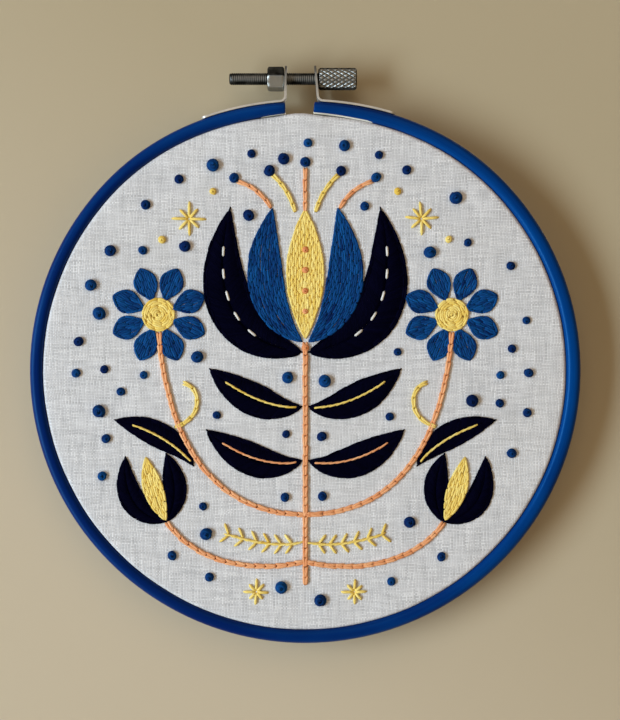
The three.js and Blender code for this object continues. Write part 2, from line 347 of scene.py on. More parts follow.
hoop_middle = Vector((0, 0, MIDDLE_Z))
for row in LIGHTS:
    lamp = bpy.data.lights.new(row["name"], "AREA")
    lamp.shape = "ELLIPSE"
    lamp.size, lamp.size_y = row["size"]
    lamp.energy = row["watts"]
    lamp.color = row["tint"]
    holder = add_object(row["name"], lamp)
    holder.location = hoop_middle + Vector(row["from"])
    holder.rotation_euler = facing(-Vector(row["from"]))

world = bpy.data.worlds.new("warm_room")
world.use_nodes = True
fill(world.node_tree, world.node_tree.nodes["Background"], {"Color": WORLD_TINT, "Strength": WORLD_STRENGTH})
bpy.context.scene.world = world
bpy.context.scene.view_settings.view_transform = "Standard"
print(len(LIGHTS), "lights")

# %% [markdown]
# Every piece ends the same way: its mesh becomes an object at the origin, is shaded smooth, gets its finish
# and rides on the hoop's one body. Other steps come back too: rounding corners, welding, turning, sweeping,
# and drawing a bar's rounded outline.

# %% Finishing a piece, and steps that come back
WELD_REACH = 0.001 * MM


def keep(name, mesh, finish, node=None):
    """Makes an object of a mesh, rides it on the hoop and, if it stands for a solid, replaces it."""
    mesh.materials.append(finish)
    mesh.shade_smooth()
    piece = add_object(name, mesh)
    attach(piece, "root")
    if node:
        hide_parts(node)
    mesh.calc_loop_triangles()
    print(name, len(mesh.loop_triangles), "triangles")
    return piece


def to_mesh(name, bm):
    """Turns a bmesh into a mesh, with its faces outwards."""
    bmesh.ops.recalc_face_normals(bm, faces=bm.faces[:])
    mesh = bpy.data.meshes.new(name)
    bm.to_mesh(mesh)
    bm.free()
    return mesh


def round_off(bm, geometry, offset, steps, affect="VERTICES"):
    """Rounds corners or edges."""
    bmesh.ops.bevel(bm, geom=geometry, offset=offset, segments=steps, profile=0.5,
                    affect=affect, material=-1)


def weld(bm):
    """Joins vertices that lie on one another."""
    bmesh.ops.remove_doubles(bm, verts=bm.verts[:], dist=WELD_REACH)


def turn_all(bm, angle, axis):
    """Turns all there is about an axis through the origin."""
    bmesh.ops.rotate(bm, cent=(0, 0, 0), matrix=Matrix.Rotation(angle, 3, axis), verts=bm.verts[:])


def sweep_round(bm, axis, angle, steps, closed):
    """Spins all there is about an axis through the origin."""
    bmesh.ops.spin(bm, geom=bm.verts[:] + bm.edges[:], cent=(0, 0, 0), axis=axis, dvec=(0, 0, 0),
                   angle=angle, steps=steps, use_merge=closed, use_duplicate=False)
    weld(bm)


def rounded_outline(bm, size, middle, axis, rounds, steps):
    """The outline of a bar in the XY plane; its low and high corners along an axis are rounded."""
    corners = bmesh.ops.create_grid(bm, x_segments=1, y_segments=1, size=0.5)["verts"]
    bmesh.ops.scale(bm, vec=(*size, 1), verts=corners)
    bmesh.ops.translate(bm, vec=(*middle, 0), verts=corners)
    low = [vert for vert in corners if vert.co[axis] < middle[axis]]
    high = [vert for vert in corners if vert.co[axis] > middle[axis]]
    for pair, offset in zip((low, high), rounds):
        round_off(bm, pair, offset, steps)
    bmesh.ops.delete(bm, geom=bm.faces[:], context="FACES_ONLY")


def kept_share(x, z):
    """How much of its distance from the hoop's middle a place keeps: the clamp draws the top flat."""
    from_top = min(1.0, abs(math.atan2(x, z)) / TOP_FLAT_REACH)
    return 1 - TOP_FLAT / HALF_HEIGHT * math.cos(from_top * math.pi / 2) ** 2


def draw_to_oval(bm, shift=0.0):
    """A circle about the origin becomes the hoop's oval, flat at its top, at the hoop's place."""
    for vert in bm.verts:
        x = vert.co.x * HALF_WIDTH / HOOP_RADIUS + shift
        z = vert.co.z * HALF_HEIGHT / HOOP_RADIUS
        share = kept_share(x, z)
        vert.co.x = x * share
        vert.co.z = z * share + MIDDLE_Z


print("finishing helpers ready")

# %% [markdown]
# Thread first. Embroidery cotton is a few fine strands with a gentle twist, and that twist is what catches
# the light. A picture of thread could be painted on, but a formula follows every stitch: each stitch will
# carry a map whose first axis runs along the thread in millimetres and whose second goes once round it.
# A slanted sine in that map gives the strands, and a stretched noise gives the loose fibres.

# %% Group: twisted strands
STRAND_TURN = 2.2
STRANDS = 3
STRAND_RELIEF = 0.35
STRAND_SHADE = 0.16
FIBRE_STRETCH = (0.9, 11.0, 1.0)
FIBRE_SCALE = 2.0
FIBRE_SHADE = 0.7


def make_strand_group():
    group, given, made = new_group("twisted_strands", {"Strand": VECTOR, "Tone": VALUE},
                                   {"Lightness": VALUE, "Height": VALUE})
    axes = put(group, "ShaderNodeSeparateXYZ", {"Vector": given["Strand"]}).outputs
    along = sums(group, "DIVIDE", axes["X"], STRAND_TURN)
    phase = sums(group, "MULTIPLY_ADD", axes["Y"], STRANDS, along)
    wave = sums(group, "SINE", sums(group, "MULTIPLY", phase, 2 * math.pi))
    fibre = noise(group, stretched(group, given["Strand"], FIBRE_STRETCH), FIBRE_SCALE)
    shade = sums(group, "MULTIPLY_ADD", wave, STRAND_SHADE, given["Tone"])
    fill(group, made, {
        "Lightness": sums(group, "MAXIMUM", varied(group, shade, fibre, FIBRE_SHADE), 0.0),
        "Height": sums(group, "MULTIPLY_ADD", wave, STRAND_RELIEF, fibre)})
    return group


strand_group = make_strand_group()
print("group", strand_group.name, "with", len(strand_group.nodes), "nodes")

# %% [markdown]
# The cottons differ in colour and a little in gloss, so one function makes them all. The dark threads keep a
# low specular level, because a dark satin stitch goes grey as soon as it shines. Sheen stands for the fuzz
# of the cotton. Each stitch has a tone, and a tone well below zero is a needle hole, whose colour is painted
# dark as the shadow in the hole.

# %% Thread finishes
HOLE_SHADE = 0.28
HOLE_TONE = -0.7
SURFACE_TONE = -0.15
THREAD_BUMP = 0.55
THREAD_RELIEF = 0.12 * MM
THREAD_ROUGH = (0.78, 0.58)
SHEEN_ROUGH = 0.5
COTTONS = {
    "navy": {"deep": (0.0002, 0.0002, 0.003), "bright": (0.0012, 0.0012, 0.0125),
             "gloss": 0.015, "fuzz": 0.0},
    "blue": {"deep": (0.0010, 0.014, 0.088), "bright": (0.0035, 0.088, 0.310), "gloss": 0.07, "fuzz": 0.02},
    "yellow": {"deep": (0.82, 0.55, 0.08), "bright": (1.0, 0.83, 0.275), "gloss": 0.3, "fuzz": 0.06},
    "orange": {"deep": (0.77, 0.275, 0.10), "bright": (0.98, 0.53, 0.265), "gloss": 0.3, "fuzz": 0.06},
    "white": {"deep": (0.66, 0.65, 0.6), "bright": (0.86, 0.85, 0.82), "gloss": 0.35, "fuzz": 0.06},
}


def thread_finish(name, deep, bright, gloss, fuzz):
    material, tree, shader = new_finish(name)
    tone = mesh_value(tree, "stitch_tone")
    twist = use_group(tree, strand_group, Strand=mesh_map(tree, "strand"), Tone=tone)
    lit = between(tree, twist["Lightness"], (*deep, 1), (*bright, 1))
    # Painted shadow: a needle hole gets a dark copy of the deep colour.
    hole = [HOLE_SHADE * part for part in deep]
    out_of_hole = spread(tree, tone, HOLE_TONE, SURFACE_TONE, 0.0, 1.0)
    fill(tree, shader, {
        "Base Color": between(tree, out_of_hole, (*hole, 1), lit),
        "Normal": bumped(tree, twist["Height"], THREAD_BUMP, THREAD_RELIEF),
        "Roughness": spread(tree, twist["Lightness"], 0.0, 1.0, *THREAD_ROUGH),
        "Specular IOR Level": gloss,
        "Sheen Weight": fuzz, "Sheen Roughness": SHEEN_ROUGH, "Sheen Tint": (*bright, 1)})
    return material


THREADS = {name: thread_finish(name + "_cotton", **row) for name, row in COTTONS.items()}
print(len(THREADS), "cottons")

# %% [markdown]
# The cloth is plain-weave linen: each thread goes over one and under one. Its flat map is in millimetres,
# so whole numbers of a thread's pitch count the warp and the weft, and their sum, odd or even, says which
# of the two lies on top. Every thread gets a tone of its own that also changes along its length, which is
# how the slubs of linen look. So many threads would be slow as geometry, so this is bump and colour.

# %% Group: plain weave
THREAD_PITCH = 0.46
WANDER_SCALE = 0.16
WANDER_THREADS = 2.4
SLUB_RUN = 0.11
SLUB_LANE = 7.31
SLUB_RELIEF = 0.8


def make_weave_group():
    group, given, made = new_group("plain_weave", {"Flat": VECTOR},
                                   {"Lightness": VALUE, "Height": VALUE})
    drift = varied(group, 0.0, noise(group, given["Flat"], WANDER_SCALE, 1.0), WANDER_THREADS)
    axes = put(group, "ShaderNodeSeparateXYZ", {"Vector": given["Flat"]}).outputs
    count, crown, slub = {}, {}, {}
    for thread, across, along in (("warp", "X", "Y"), ("weft", "Y", "X")):
        place = sums(group, "ADD", sums(group, "DIVIDE", axes[across], THREAD_PITCH), drift)
        count[thread] = sums(group, "FLOOR", place)
        crown[thread] = sums(group, "SINE", sums(group, "MULTIPLY", sums(group, "FRACT", place), math.pi))
        run = sums(group, "MULTIPLY", axes[along], SLUB_RUN)
        lane = sums(group, "MULTIPLY", count[thread], SLUB_LANE)
        thread_map = put(group, "ShaderNodeCombineXYZ", {"X": lane, "Y": run}).outputs["Vector"]
        slub[thread] = noise(group, thread_map)
    both = sums(group, "ADD", count["warp"], count["weft"])
    on_top = sums(group, "FLOORED_MODULO", both, 2.0)
    tones = {0: on_top, FLOAT_A: slub["weft"], FLOAT_B: slub["warp"]}
    tone = put(group, "ShaderNodeMix", tones).outputs[FLOAT_RESULT]
    height = sums(group, "MULTIPLY", crown["warp"], crown["weft"])
    fill(group, made, {
        "Lightness": tone, "Height": sums(group, "MULTIPLY_ADD", tone, SLUB_RELIEF, height)})
    return group


weave_group = make_weave_group()
print("group", weave_group.name, "with", len(weave_group.nodes), "nodes")

# %% [markdown]
# The linen takes its colour from the weave: light and dark threads, painted shade in the gaps where the
# weave is low, and here and there a faint warm patch where hands have been.

# %% Linen finish
LINEN_DARK = (0.60, 0.614, 0.637, 1)
LINEN_LIGHT = (0.935, 0.953, 0.978, 1)
LINEN_GAP_SHADE = (0.36, 0.37, 0.385, 1)
LINEN_HANDLED = (0.70, 0.69, 0.66, 1)
GAP_HEIGHTS = (0.25, 0.8)
GAP_SHADE_SHARE = 0.75
HANDLED_STRETCH = (0.02, 0.02, 1)
HANDLED_SPAN = (0.45, 0.75)
HANDLED_SHARE = 0.2
LINEN_BUMP = 0.5
LINEN_RELIEF = 0.16 * MM
LINEN_ROUGH = (0.95, 0.82)


def linen_finish():
    material, tree, shader = new_finish("stretched_linen")
    flat = mesh_map(tree, "flat")
    weave = use_group(tree, weave_group, Flat=flat)
    shade = spread(tree, weave["Lightness"], *NOISE_SPAN, 0.0, 1.0)
    # Painted shade: darker where the weave is low, in the gaps between threads.
    sunk = spread(tree, weave["Height"], *GAP_HEIGHTS, GAP_SHADE_SHARE, 0.0)
    colour = between(tree, sunk, between(tree, shade, LINEN_DARK, LINEN_LIGHT), LINEN_GAP_SHADE)
    handled = noise(tree, stretched(tree, flat, HANDLED_STRETCH))
    aged = spread(tree, handled, *HANDLED_SPAN, 0.0, HANDLED_SHARE)
    fill(tree, shader, {
        "Base Color": between(tree, aged, colour, LINEN_HANDLED),
        "Normal": bumped(tree, weave["Height"], LINEN_BUMP, LINEN_RELIEF),
        "Roughness": spread(tree, weave["Lightness"], 0.0, 1.0, *LINEN_ROUGH),
        "Specular IOR Level": 0.25,
        "Sheen Weight": 0.08, "Sheen Roughness": SHEEN_ROUGH})
    return material


LINEN = linen_finish()
print("finish", LINEN.name)

# %% [markdown]
# Both rings are bent bamboo. Its fibres run along the strip, so the grain follows a map that unrolls the
# ring: first axis along the ring, second round its section, both in millimetres. The same grain serves
# the bare inner ring and, faintly, the paint over the outer one.

# %% Group: bamboo grain
GRAIN_FIBRES = (0.05, 3.4, 1.0)
GRAIN_STREAKS = (0.018, 0.55, 1.0)


def make_grain_group():
    group, given, made = new_group("bamboo_grain", {"Unrolled": VECTOR},
                                   {"Fibre": VALUE, "Streak": VALUE})
    fill(group, made, {
        "Fibre": noise(group, stretched(group, given["Unrolled"], GRAIN_FIBRES), 1.0, 3.0),
        "Streak": noise(group, stretched(group, given["Unrolled"], GRAIN_STREAKS))})
    return group


grain_group = make_grain_group()
print("group", grain_group.name, "with", len(grain_group.nodes), "nodes")

# %% [markdown]
# The outer ring was brushed with blue paint after it was bent: satin, with long brush marks and a bluish
# shine. It is smoother on the right of the ring. Its colour is painted lighter where the section faces the
# key light on the left, which is towards the bore on the right of the ring and towards the outside on its
# left, and darker where it turns away: painted light and shade. The paint is missing inside the bore and
# along the shaved ends, where the wood is cream. Values on each vertex say how well the brush reached it and
# how far in it lies, and noise along the ring frays the paint's edge.

# %% Wood finishes
CREAM_WOOD = (0.80, 0.66, 0.44, 1)
TAN_WOOD = (0.56, 0.40, 0.21, 1)
SHAVED_WOOD = (0.88, 0.86, 0.78, 1)
SHAVED_SPAN = (0.25, 0.5)
DEEP_PAINT = (0.0004, 0.0115, 0.115, 1)
BRIGHT_PAINT = (0.0004, 0.052, 0.25, 1)
PAINT_SHINE = (0.1, 0.5, 1.0, 1)
# Painted light and shade on the paint: lighter where the section faces the key light.
PAINTED_LIGHT_SIDE_OF_RING = (0.96, 0, 0.27)
PAINTED_LIGHT_MIDDLE = 0.34
PAINTED_LIGHT_CHANGE = (0.05, 0.75)
CLOUD_STRETCH = (0.05, 0.12, 1.0)
STREAK_SHARE = 0.6
BRUSH_SPAN = (0.34, 0.68)
BRUSH_CHANGE = 0.28
FRAYED = 0.5
FRAYED_SPAN = (0.42, 0.52)
PAINT_ROUGH = (0.40, 0.26)
FIBRE_ROUGH = 0.06
BARE_ROUGH = 0.25
MARK_FIBRES = 0.5
FIBRE_SHARE = 0.6


def painted_finish():
    material, tree, shader = new_finish("brushed_blue_paint")
    unrolled = mesh_map(tree, "unrolled")
    grain = use_group(tree, grain_group, Unrolled=unrolled)
    cloudy = noise(tree, stretched(tree, unrolled, CLOUD_STRETCH))
    brushed = blend(tree, STREAK_SHARE, grain["Streak"], cloudy)
    from_middle = put(tree, "ShaderNodeMapping", {
        "Vector": object_place(tree), "Scale": [1 / HOOP_RADIUS] * 3,
        "Location": (0, 0, -MIDDLE_Z / HOOP_RADIUS)}).outputs["Vector"]
    # Painted light and shade: the paint is lighter where the section faces the key light on the left, darker
    # where it turns away.
    side = towards(tree, from_middle, PAINTED_LIGHT_SIDE_OF_RING)
    change = spread(tree, mesh_value(tree, "inward"), 0.0, 1.0, *PAINTED_LIGHT_CHANGE)
    painted_lighting = sums(tree, "MULTIPLY_ADD", side, change, PAINTED_LIGHT_MIDDLE)
    painted_lighting_and_brush = sums(tree, "ADD", painted_lighting, spread(tree, brushed, *BRUSH_SPAN, -BRUSH_CHANGE, BRUSH_CHANGE))
    blue = between(tree, painted_lighting_and_brush, DEEP_PAINT, BRIGHT_PAINT)
    wood = between(tree, spread(tree, grain["Fibre"], *SHAVED_SPAN, 0.0, 1.0), CREAM_WOOD, SHAVED_WOOD)
    reach = varied(tree, mesh_value(tree, "paint"), grain["Fibre"], FRAYED)
    covered = spread(tree, reach, *FRAYED_SPAN, 0.0, 1.0)
    coat_rough = spread(tree, side, -1.0, 1.0, *PAINT_ROUGH)
    fibre_rough = spread(tree, grain["Fibre"], *NOISE_SPAN, -FIBRE_ROUGH, FIBRE_ROUGH)
    uneven = sums(tree, "ADD", coat_rough, fibre_rough)
    dull = sums(tree, "MULTIPLY", sums(tree, "SUBTRACT", 1.0, covered), BARE_ROUGH)
    marks = sums(tree, "MULTIPLY_ADD", grain["Fibre"], MARK_FIBRES, grain["Streak"])
    fill(tree, shader, {
        "Base Color": between(tree, covered, wood, blue),
        "Roughness": sums(tree, "ADD", uneven, dull),
        "Normal": bumped(tree, marks, 0.22, 0.25 * MM),
        "Specular IOR Level": 0.3, "Specular Tint": PAINT_SHINE})
    return material


def bare_finish():
    material, tree, shader = new_finish("bare_bamboo")
    grain = use_group(tree, grain_group, Unrolled=mesh_map(tree, "unrolled"))
    shade = spread(tree, blend(tree, FIBRE_SHARE, grain["Fibre"], grain["Streak"]), *NOISE_SPAN, 0.0, 1.0)
    fill(tree, shader, {
        "Base Color": between(tree, shade, TAN_WOOD, CREAM_WOOD),
        "Roughness": spread(tree, grain["Fibre"], *NOISE_SPAN, 0.7, 0.5),
        "Normal": bumped(tree, grain["Fibre"], 0.25, 0.2 * MM),
        "Specular IOR Level": 0.35})
    return material


PAINTED_WOOD = painted_finish()
BARE_WOOD = bare_finish()
print("finishes", PAINTED_WOOD.name, BARE_WOOD.name)

# %% [markdown]
# The clamp is plated steel. Its colour is bright on sharp places and darker in the grooves, so the turned
# pieces carry a value on each vertex that is 0 at the foot of a groove and 1 on its crest. Outside a band of
# each turned piece that value is lowered, which is painted shade standing for the dark room that the steel
# reflects there. The bent strips carry none, and simply go dull towards the top of the ear. Fine scratches
# run along one axis, as a tool or a thumb leaves them.

# %% Group: rubbed and shaded steel, and its finishes
SCRATCH_STRETCH = (300.0, 5200.0, 5200.0)
SMUDGE_SCALE = 420.0
SMUDGE_SHARE = 0.55
# Below this level the colour darkens, in the grooves and as painted shade.
DARKENING_LEVEL = 0.28
EAR_FOOT_Z = SCREW_Z - 7.0 * MM
EAR_TOP_Z = SCREW_Z + 3.0 * MM
EAR_CRESTS = (0.82, 0.2)
SCRATCH_ROUGH = 0.16
DARKENED_ROUGH = 0.3
STEELS = {
    "bent_strip_steel": {"dark": (0.095, 0.09, 0.075), "bright": (0.77, 0.755, 0.70), "smoothest": 0.42},
    "turned_steel": {"dark": (0.014, 0.015, 0.0145), "bright": (0.40, 0.415, 0.405), "smoothest": 0.32},
}


def make_rubbed_group():
    group, given, made = new_group("rubbed_and_shaded_steel", {"Place": VECTOR, "Crest": VALUE},
                                   {"Bright": VALUE, "Scratch": VALUE})
    smudge = noise(group, given["Place"], SMUDGE_SCALE, 3.0)
    over_darkening = sums(group, "SUBTRACT", given["Crest"], DARKENING_LEVEL)
    rubbed_and_shaded = sums(group, "MULTIPLY_ADD", smudge, SMUDGE_SHARE, over_darkening)
    fill(group, made, {
        "Bright": put(group, "ShaderNodeClamp", {"Value": rubbed_and_shaded}).outputs["Result"],
        "Scratch": noise(group, stretched(group, given["Place"], SCRATCH_STRETCH))})
    return group


rubbed_and_shaded_group = make_rubbed_group()


def steel_finish(name, crest_from_mesh):
    material, tree, shader = new_finish(name)
    row = STEELS[name]
    place = object_place(tree)
    if crest_from_mesh:
        crest = mesh_value(tree, "crest")
    else:
        high = put(tree, "ShaderNodeSeparateXYZ", {"Vector": place}).outputs["Z"]
        crest = spread(tree, high, EAR_FOOT_Z, EAR_TOP_Z, *EAR_CRESTS)
    rubbed_and_shaded = use_group(tree, rubbed_and_shaded_group, Place=place, Crest=crest)
    rough = spread(tree, rubbed_and_shaded["Scratch"], *NOISE_SPAN, row["smoothest"], row["smoothest"] + SCRATCH_ROUGH)
    darkened = sums(tree, "SUBTRACT", 1.0, rubbed_and_shaded["Bright"])
    fill(tree, shader, {
        "Base Color": between(tree, rubbed_and_shaded["Bright"], (*row["dark"], 1), (*row["bright"], 1)),
        "Roughness": sums(tree, "MULTIPLY_ADD", darkened, DARKENED_ROUGH, rough),
        "Normal": bumped(tree, rubbed_and_shaded["Scratch"], 0.12, 0.05 * MM),
        "Metallic": 1.0})
    return material


STRIP_STEEL = steel_finish("bent_strip_steel", False)
SCREW_STEEL = steel_finish("turned_steel", True)
print("finishes", STRIP_STEEL.name, SCREW_STEEL.name)

# %% [markdown]
# The outer ring is one strip of bamboo bent round until its ends nearly meet. The natural way to model a
# bent strip is to draw its section and spin it. The section is a grid of one face with rounded corners.
# Only its outline is kept, and spin sweeps it from one end of the split to the other.

# %% Tools for the rings
AROUND_HOOP = (0, -1, 0)
RING_STEP = math.radians(2.0)
CORNER_STEPS = 6
SECTION_ROUND = 3.0


def ring_section(bm, outer_radius, wall, front, back):
    """The outline of a rounded bar in the XY plane, its outer side at a radius from the hoop's middle."""
    middle = (outer_radius - wall / 2, (front + back) / 2)
    rounded_outline(bm, (wall, back - front), middle, 1, (FRONT_ROUND, EDGE_ROUND), CORNER_STEPS)


def unroll(mesh, middle_radius):
    """A map in millimetres: first along the ring from its foot, then round its section."""
    places = np.empty(len(mesh.vertices) * 3)
    mesh.vertices.foreach_get("co", places)
    x, y, z = places.reshape(-1, 3).T
    z = z - MIDDLE_Z
    turned = np.arctan2(x, -z)
    rounded = np.arctan2(y - (FRONT + BACK) / 2, np.hypot(x, z) - middle_radius)
    corner = np.empty(len(mesh.loops), dtype=int)
    mesh.loops.foreach_get("vertex_index", corner)
    starts = [face.loop_start for face in mesh.polygons]
    totals = [face.loop_total for face in mesh.polygons]
    first = corner[np.repeat(starts, totals)]

    def on_one_side(angle):
        return angle[first] + (angle[corner] - angle[first] + np.pi) % (2 * np.pi) - np.pi

    along = on_one_side(turned) * HOOP_RADIUS / MM
    across = on_one_side(rounded) * SECTION_ROUND
    unrolled = np.column_stack((along, across))
    mesh.uv_layers.new(name="unrolled").data.foreach_set("uv", unrolled.ravel())


print("ring tools ready")

# %% [markdown]
# At the split the maker shaved the strip thinner from the inside, and the brush missed the shaved edge, so
# a cream line shows there, longer on the right. The bore also sits a little to the left of the outside,
# which makes the rim wider on the right. Both are small moves of the swept vertices.

# %% Outer ring
LEFT_ANGLE = math.acos(SPLIT_LEFT / HALF_WIDTH)
RIGHT_ANGLE = math.acos(SPLIT_RIGHT / HALF_WIDTH) + 2 * math.pi
END_ROUND = 0.35 * MM
END_STEPS = 2
CREAM_EDGES = {
    "left": {"length": 8.0 * MM, "share": 0.03},
    "right": {"length": 19.0 * MM, "share": 0.08},
}
BORE_PAINT_DEPTH = 0.6
FACE_SHARE = 0.97


def brush_reach(share, depth, from_end, edge):
    """How well the brush reached a place: 1 is painted, 0 is bare wood."""
    if share < edge["share"] and from_end < edge["length"]:
        return 0.0
    if depth > FACE_SHARE:
        return share
    if share < 1 - FACE_SHARE:
        return max(0.0, 1 - depth / BORE_PAINT_DEPTH)
    return 1.0


def make_outer_ring():
    bm = bmesh.new()
    paint = bm.verts.layers.float.new("paint")
    inward = bm.verts.layers.float.new("inward")
    ring_section(bm, HOOP_RADIUS, OUTER_WALL, FRONT, BACK)
    turn_all(bm, LEFT_ANGLE, AROUND_HOOP)
    whole_turn = RIGHT_ANGLE - LEFT_ANGLE
    sweep_round(bm, AROUND_HOOP, whole_turn, round(whole_turn / RING_STEP), False)
    for vert in bm.verts:
        angle = math.atan2(vert.co.z, vert.co.x) % (2 * math.pi)
        angle += 2 * math.pi if angle < LEFT_ANGLE - RING_STEP / 2 else 0
        from_left = (angle - LEFT_ANGLE) * HOOP_RADIUS
        from_right = (RIGHT_ANGLE - angle) * HOOP_RADIUS
        edge = CREAM_EDGES["left" if from_left < from_right else "right"]
        from_end = max(0.0, min(from_left, from_right))
        radius = math.hypot(vert.co.x, vert.co.z)
        sunk = HOOP_RADIUS - radius
        shaved = END_WALL + (OUTER_WALL - END_WALL) * min(1.0, from_end / SHAVED_LENGTH)
        depth = (vert.co.y - FRONT) / (BACK - FRONT)
        vert[inward] = sunk / OUTER_WALL
        vert[paint] = brush_reach(1 - sunk / OUTER_WALL, depth, from_end, edge)
        thinner = (HOOP_RADIUS - sunk * shaved / OUTER_WALL) / radius
        vert.co.x = vert.co.x * thinner + BORE_SHIFT * sunk / OUTER_WALL
        vert.co.z *= thinner
    rims = [edge for edge in bm.edges if edge.is_boundary]
    bmesh.ops.holes_fill(bm, edges=rims, sides=0)
    round_off(bm, rims, END_ROUND, END_STEPS, "EDGES")
    draw_to_oval(bm)
    mesh = to_mesh("outer_ring_painted", bm)
    unroll(mesh, HOOP_RADIUS - OUTER_WALL / 2)
    keep("outer_ring_painted", mesh, PAINTED_WOOD, "outer_ring")


make_outer_ring()

# %% [markdown]
# The inner ring is a closed hoop of the same bamboo, left bare. It is seen only from behind and below the
# cloth's edge. A full spin needs use_merge, so that its last step closes onto the first.

# %% Inner ring
PRESS_GAP = 0.06 * MM
INNER_OUTSIDE = HOOP_RADIUS - OUTER_WALL - CLOTH_THICK - 2 * PRESS_GAP


def make_inner_ring():
    bm = bmesh.new()
    ring_section(bm, INNER_OUTSIDE, INNER_WALL, CLOTH_BACK + PRESS_GAP, BACK)
    sweep_round(bm, AROUND_HOOP, 2 * math.pi, round(2 * math.pi / RING_STEP), True)
    draw_to_oval(bm, BORE_SHIFT)
    mesh = to_mesh("inner_ring_bare", bm)
    unroll(mesh, INNER_OUTSIDE - INNER_WALL / 2)
    keep("inner_ring_bare", mesh, BARE_WOOD, "inner_ring")


make_inner_ring()

# %% [markdown]
# The linen is stretched over the inner ring: flat in front, rolled over the ring's edge, and down between
# the two rings as a skirt. It could be simulated, but cloth drawn drum tight has only the shape of what it
# is drawn over. So its section, an L with two rounded corners, is spun, and then pulled: soft ripples run in
# from the rim, and at the split, where nothing presses it, it rises in a small hump.

# %% Cloth
CLOTH_RIM = HOOP_RADIUS - OUTER_WALL - PRESS_GAP
SKIRT_END = BACK - 0.4 * MM
CLOTH_ROLL = 1.1 * MM
ROLL_STEPS = 6
FRONT_CUTS = 30
CLOTH_STEPS = 160
HUMP = {"middle": -1.6 * MM, "reach": 8.0 * MM, "rise": 0.7 * MM}
RIM_SHARPNESS = 8
RIPPLES = [
    {"count": 23, "height": 0.09 * MM, "turn": 0.4},
    {"count": 9, "height": 0.07 * MM, "turn": 1.9},
]


def cloth_section(bm):
    """The outline of the cloth's section in the XY plane, open at the hoop's axis."""
    inner_rim = CLOTH_RIM - CLOTH_THICK
    outline = [(0, CLOTH_FRONT), (CLOTH_RIM, CLOTH_FRONT), (CLOTH_RIM, SKIRT_END),
               (inner_rim, SKIRT_END), (inner_rim, CLOTH_BACK), (0, CLOTH_BACK)]
    corners = [bm.verts.new((x, y, 0)) for x, y in outline]
    bm.faces.new(corners)
    for corner, offset in ((corners[1], CLOTH_ROLL), (corners[4], CLOTH_ROLL - CLOTH_THICK)):
        round_off(bm, [corner], offset, ROLL_STEPS)
    bmesh.ops.delete(bm, geom=bm.faces[:], context="FACES_ONLY")
    axis_edge = min(bm.edges, key=lambda edge: edge.verts[0].co.x + edge.verts[1].co.x)
    bmesh.ops.delete(bm, geom=[axis_edge], context="EDGES_FACES")
    flats = sorted(bm.edges, key=lambda edge: -edge.calc_length())[:2]
    bmesh.ops.subdivide_edges(bm, edges=flats, cuts=FRONT_CUTS)


def pull_tight(vert):
    """Moves a vertex of the cloth by the ripples at the rim and the hump at the split."""
    x, y, z = vert.co
    share = min(1.0, math.hypot(x, z) / CLOTH_RIM) ** RIM_SHARPNESS
    turn = math.atan2(z, x)
    beside = min(1.0, abs(x - HUMP["middle"]) / HUMP["reach"])
    freed = math.cos(beside * math.pi / 2) ** 2 if z > 0 else 0.0
    ripple = sum(row["height"] * math.sin(row["count"] * turn + row["turn"]) for row in RIPPLES)
    vert.co = (x, y + ripple * share * (1 - freed), z + HUMP["rise"] * freed * share)


def make_cloth():
    bm = bmesh.new()
    cloth_section(bm)
    sweep_round(bm, AROUND_HOOP, 2 * math.pi, CLOTH_STEPS, True)
    flat_map = bm.loops.layers.uv.new("flat")
    for face in bm.faces:
        for loop in face.loops:
            x, y, z = loop.vert.co
            skirt = max(0.0, y - CLOTH_BACK)
            grown = 1 + skirt / max(math.hypot(x, z), CLOTH_ROLL)
            loop[flat_map].uv = (x * grown / MM, z * grown / MM)
    for vert in bm.verts:
        pull_tight(vert)
    draw_to_oval(bm, BORE_SHIFT)
    return keep("stretched_cloth", to_mesh("stretched_cloth", bm), LINEN, "cloth")


cloth = make_cloth()

# %% [markdown]
# Two steel strips carry the clamp screw. A press stamps each one flat, with a round ear and a hole, and
# then bends it, and the lesson does the same: a flat blank is drawn and filled round its hole, cut across
# wherever the bend will pass, and wrapped along a path that runs down the ear, round the bend and along
# the outside of the ring. Solidify gives it the sheet's thickness, and a small bevel breaks the edges.

# %% Clamp strips
STRIP_THICK = 0.6 * MM
STRIP_WIDTH = 7.0 * MM
STRIP_BEND = 1.6 * MM
STRIP_SEAT = 0.04 * MM
STRIP_END_ROUND = 1.4 * MM
STRIP_EDGE = 0.13 * MM
EAR_RISE = 3.8 * MM
EAR_CORNER = 2.8 * MM
EAR_HOLE = 2.05 * MM
EAR_STEPS = 8
HOLE_SEGMENTS = 28
BEND_PLACES = 8
FLANGE_PLACES = 22
STRIPS = [
    {"name": "left", "towards": -1, "ear_x": -5.75 * MM, "lean": 1.5, "flange_end": -30.6 * MM},
    {"name": "right", "towards": 1, "ear_x": 3.2 * MM, "lean": 5.0, "flange_end": 26.6 * MM},
]


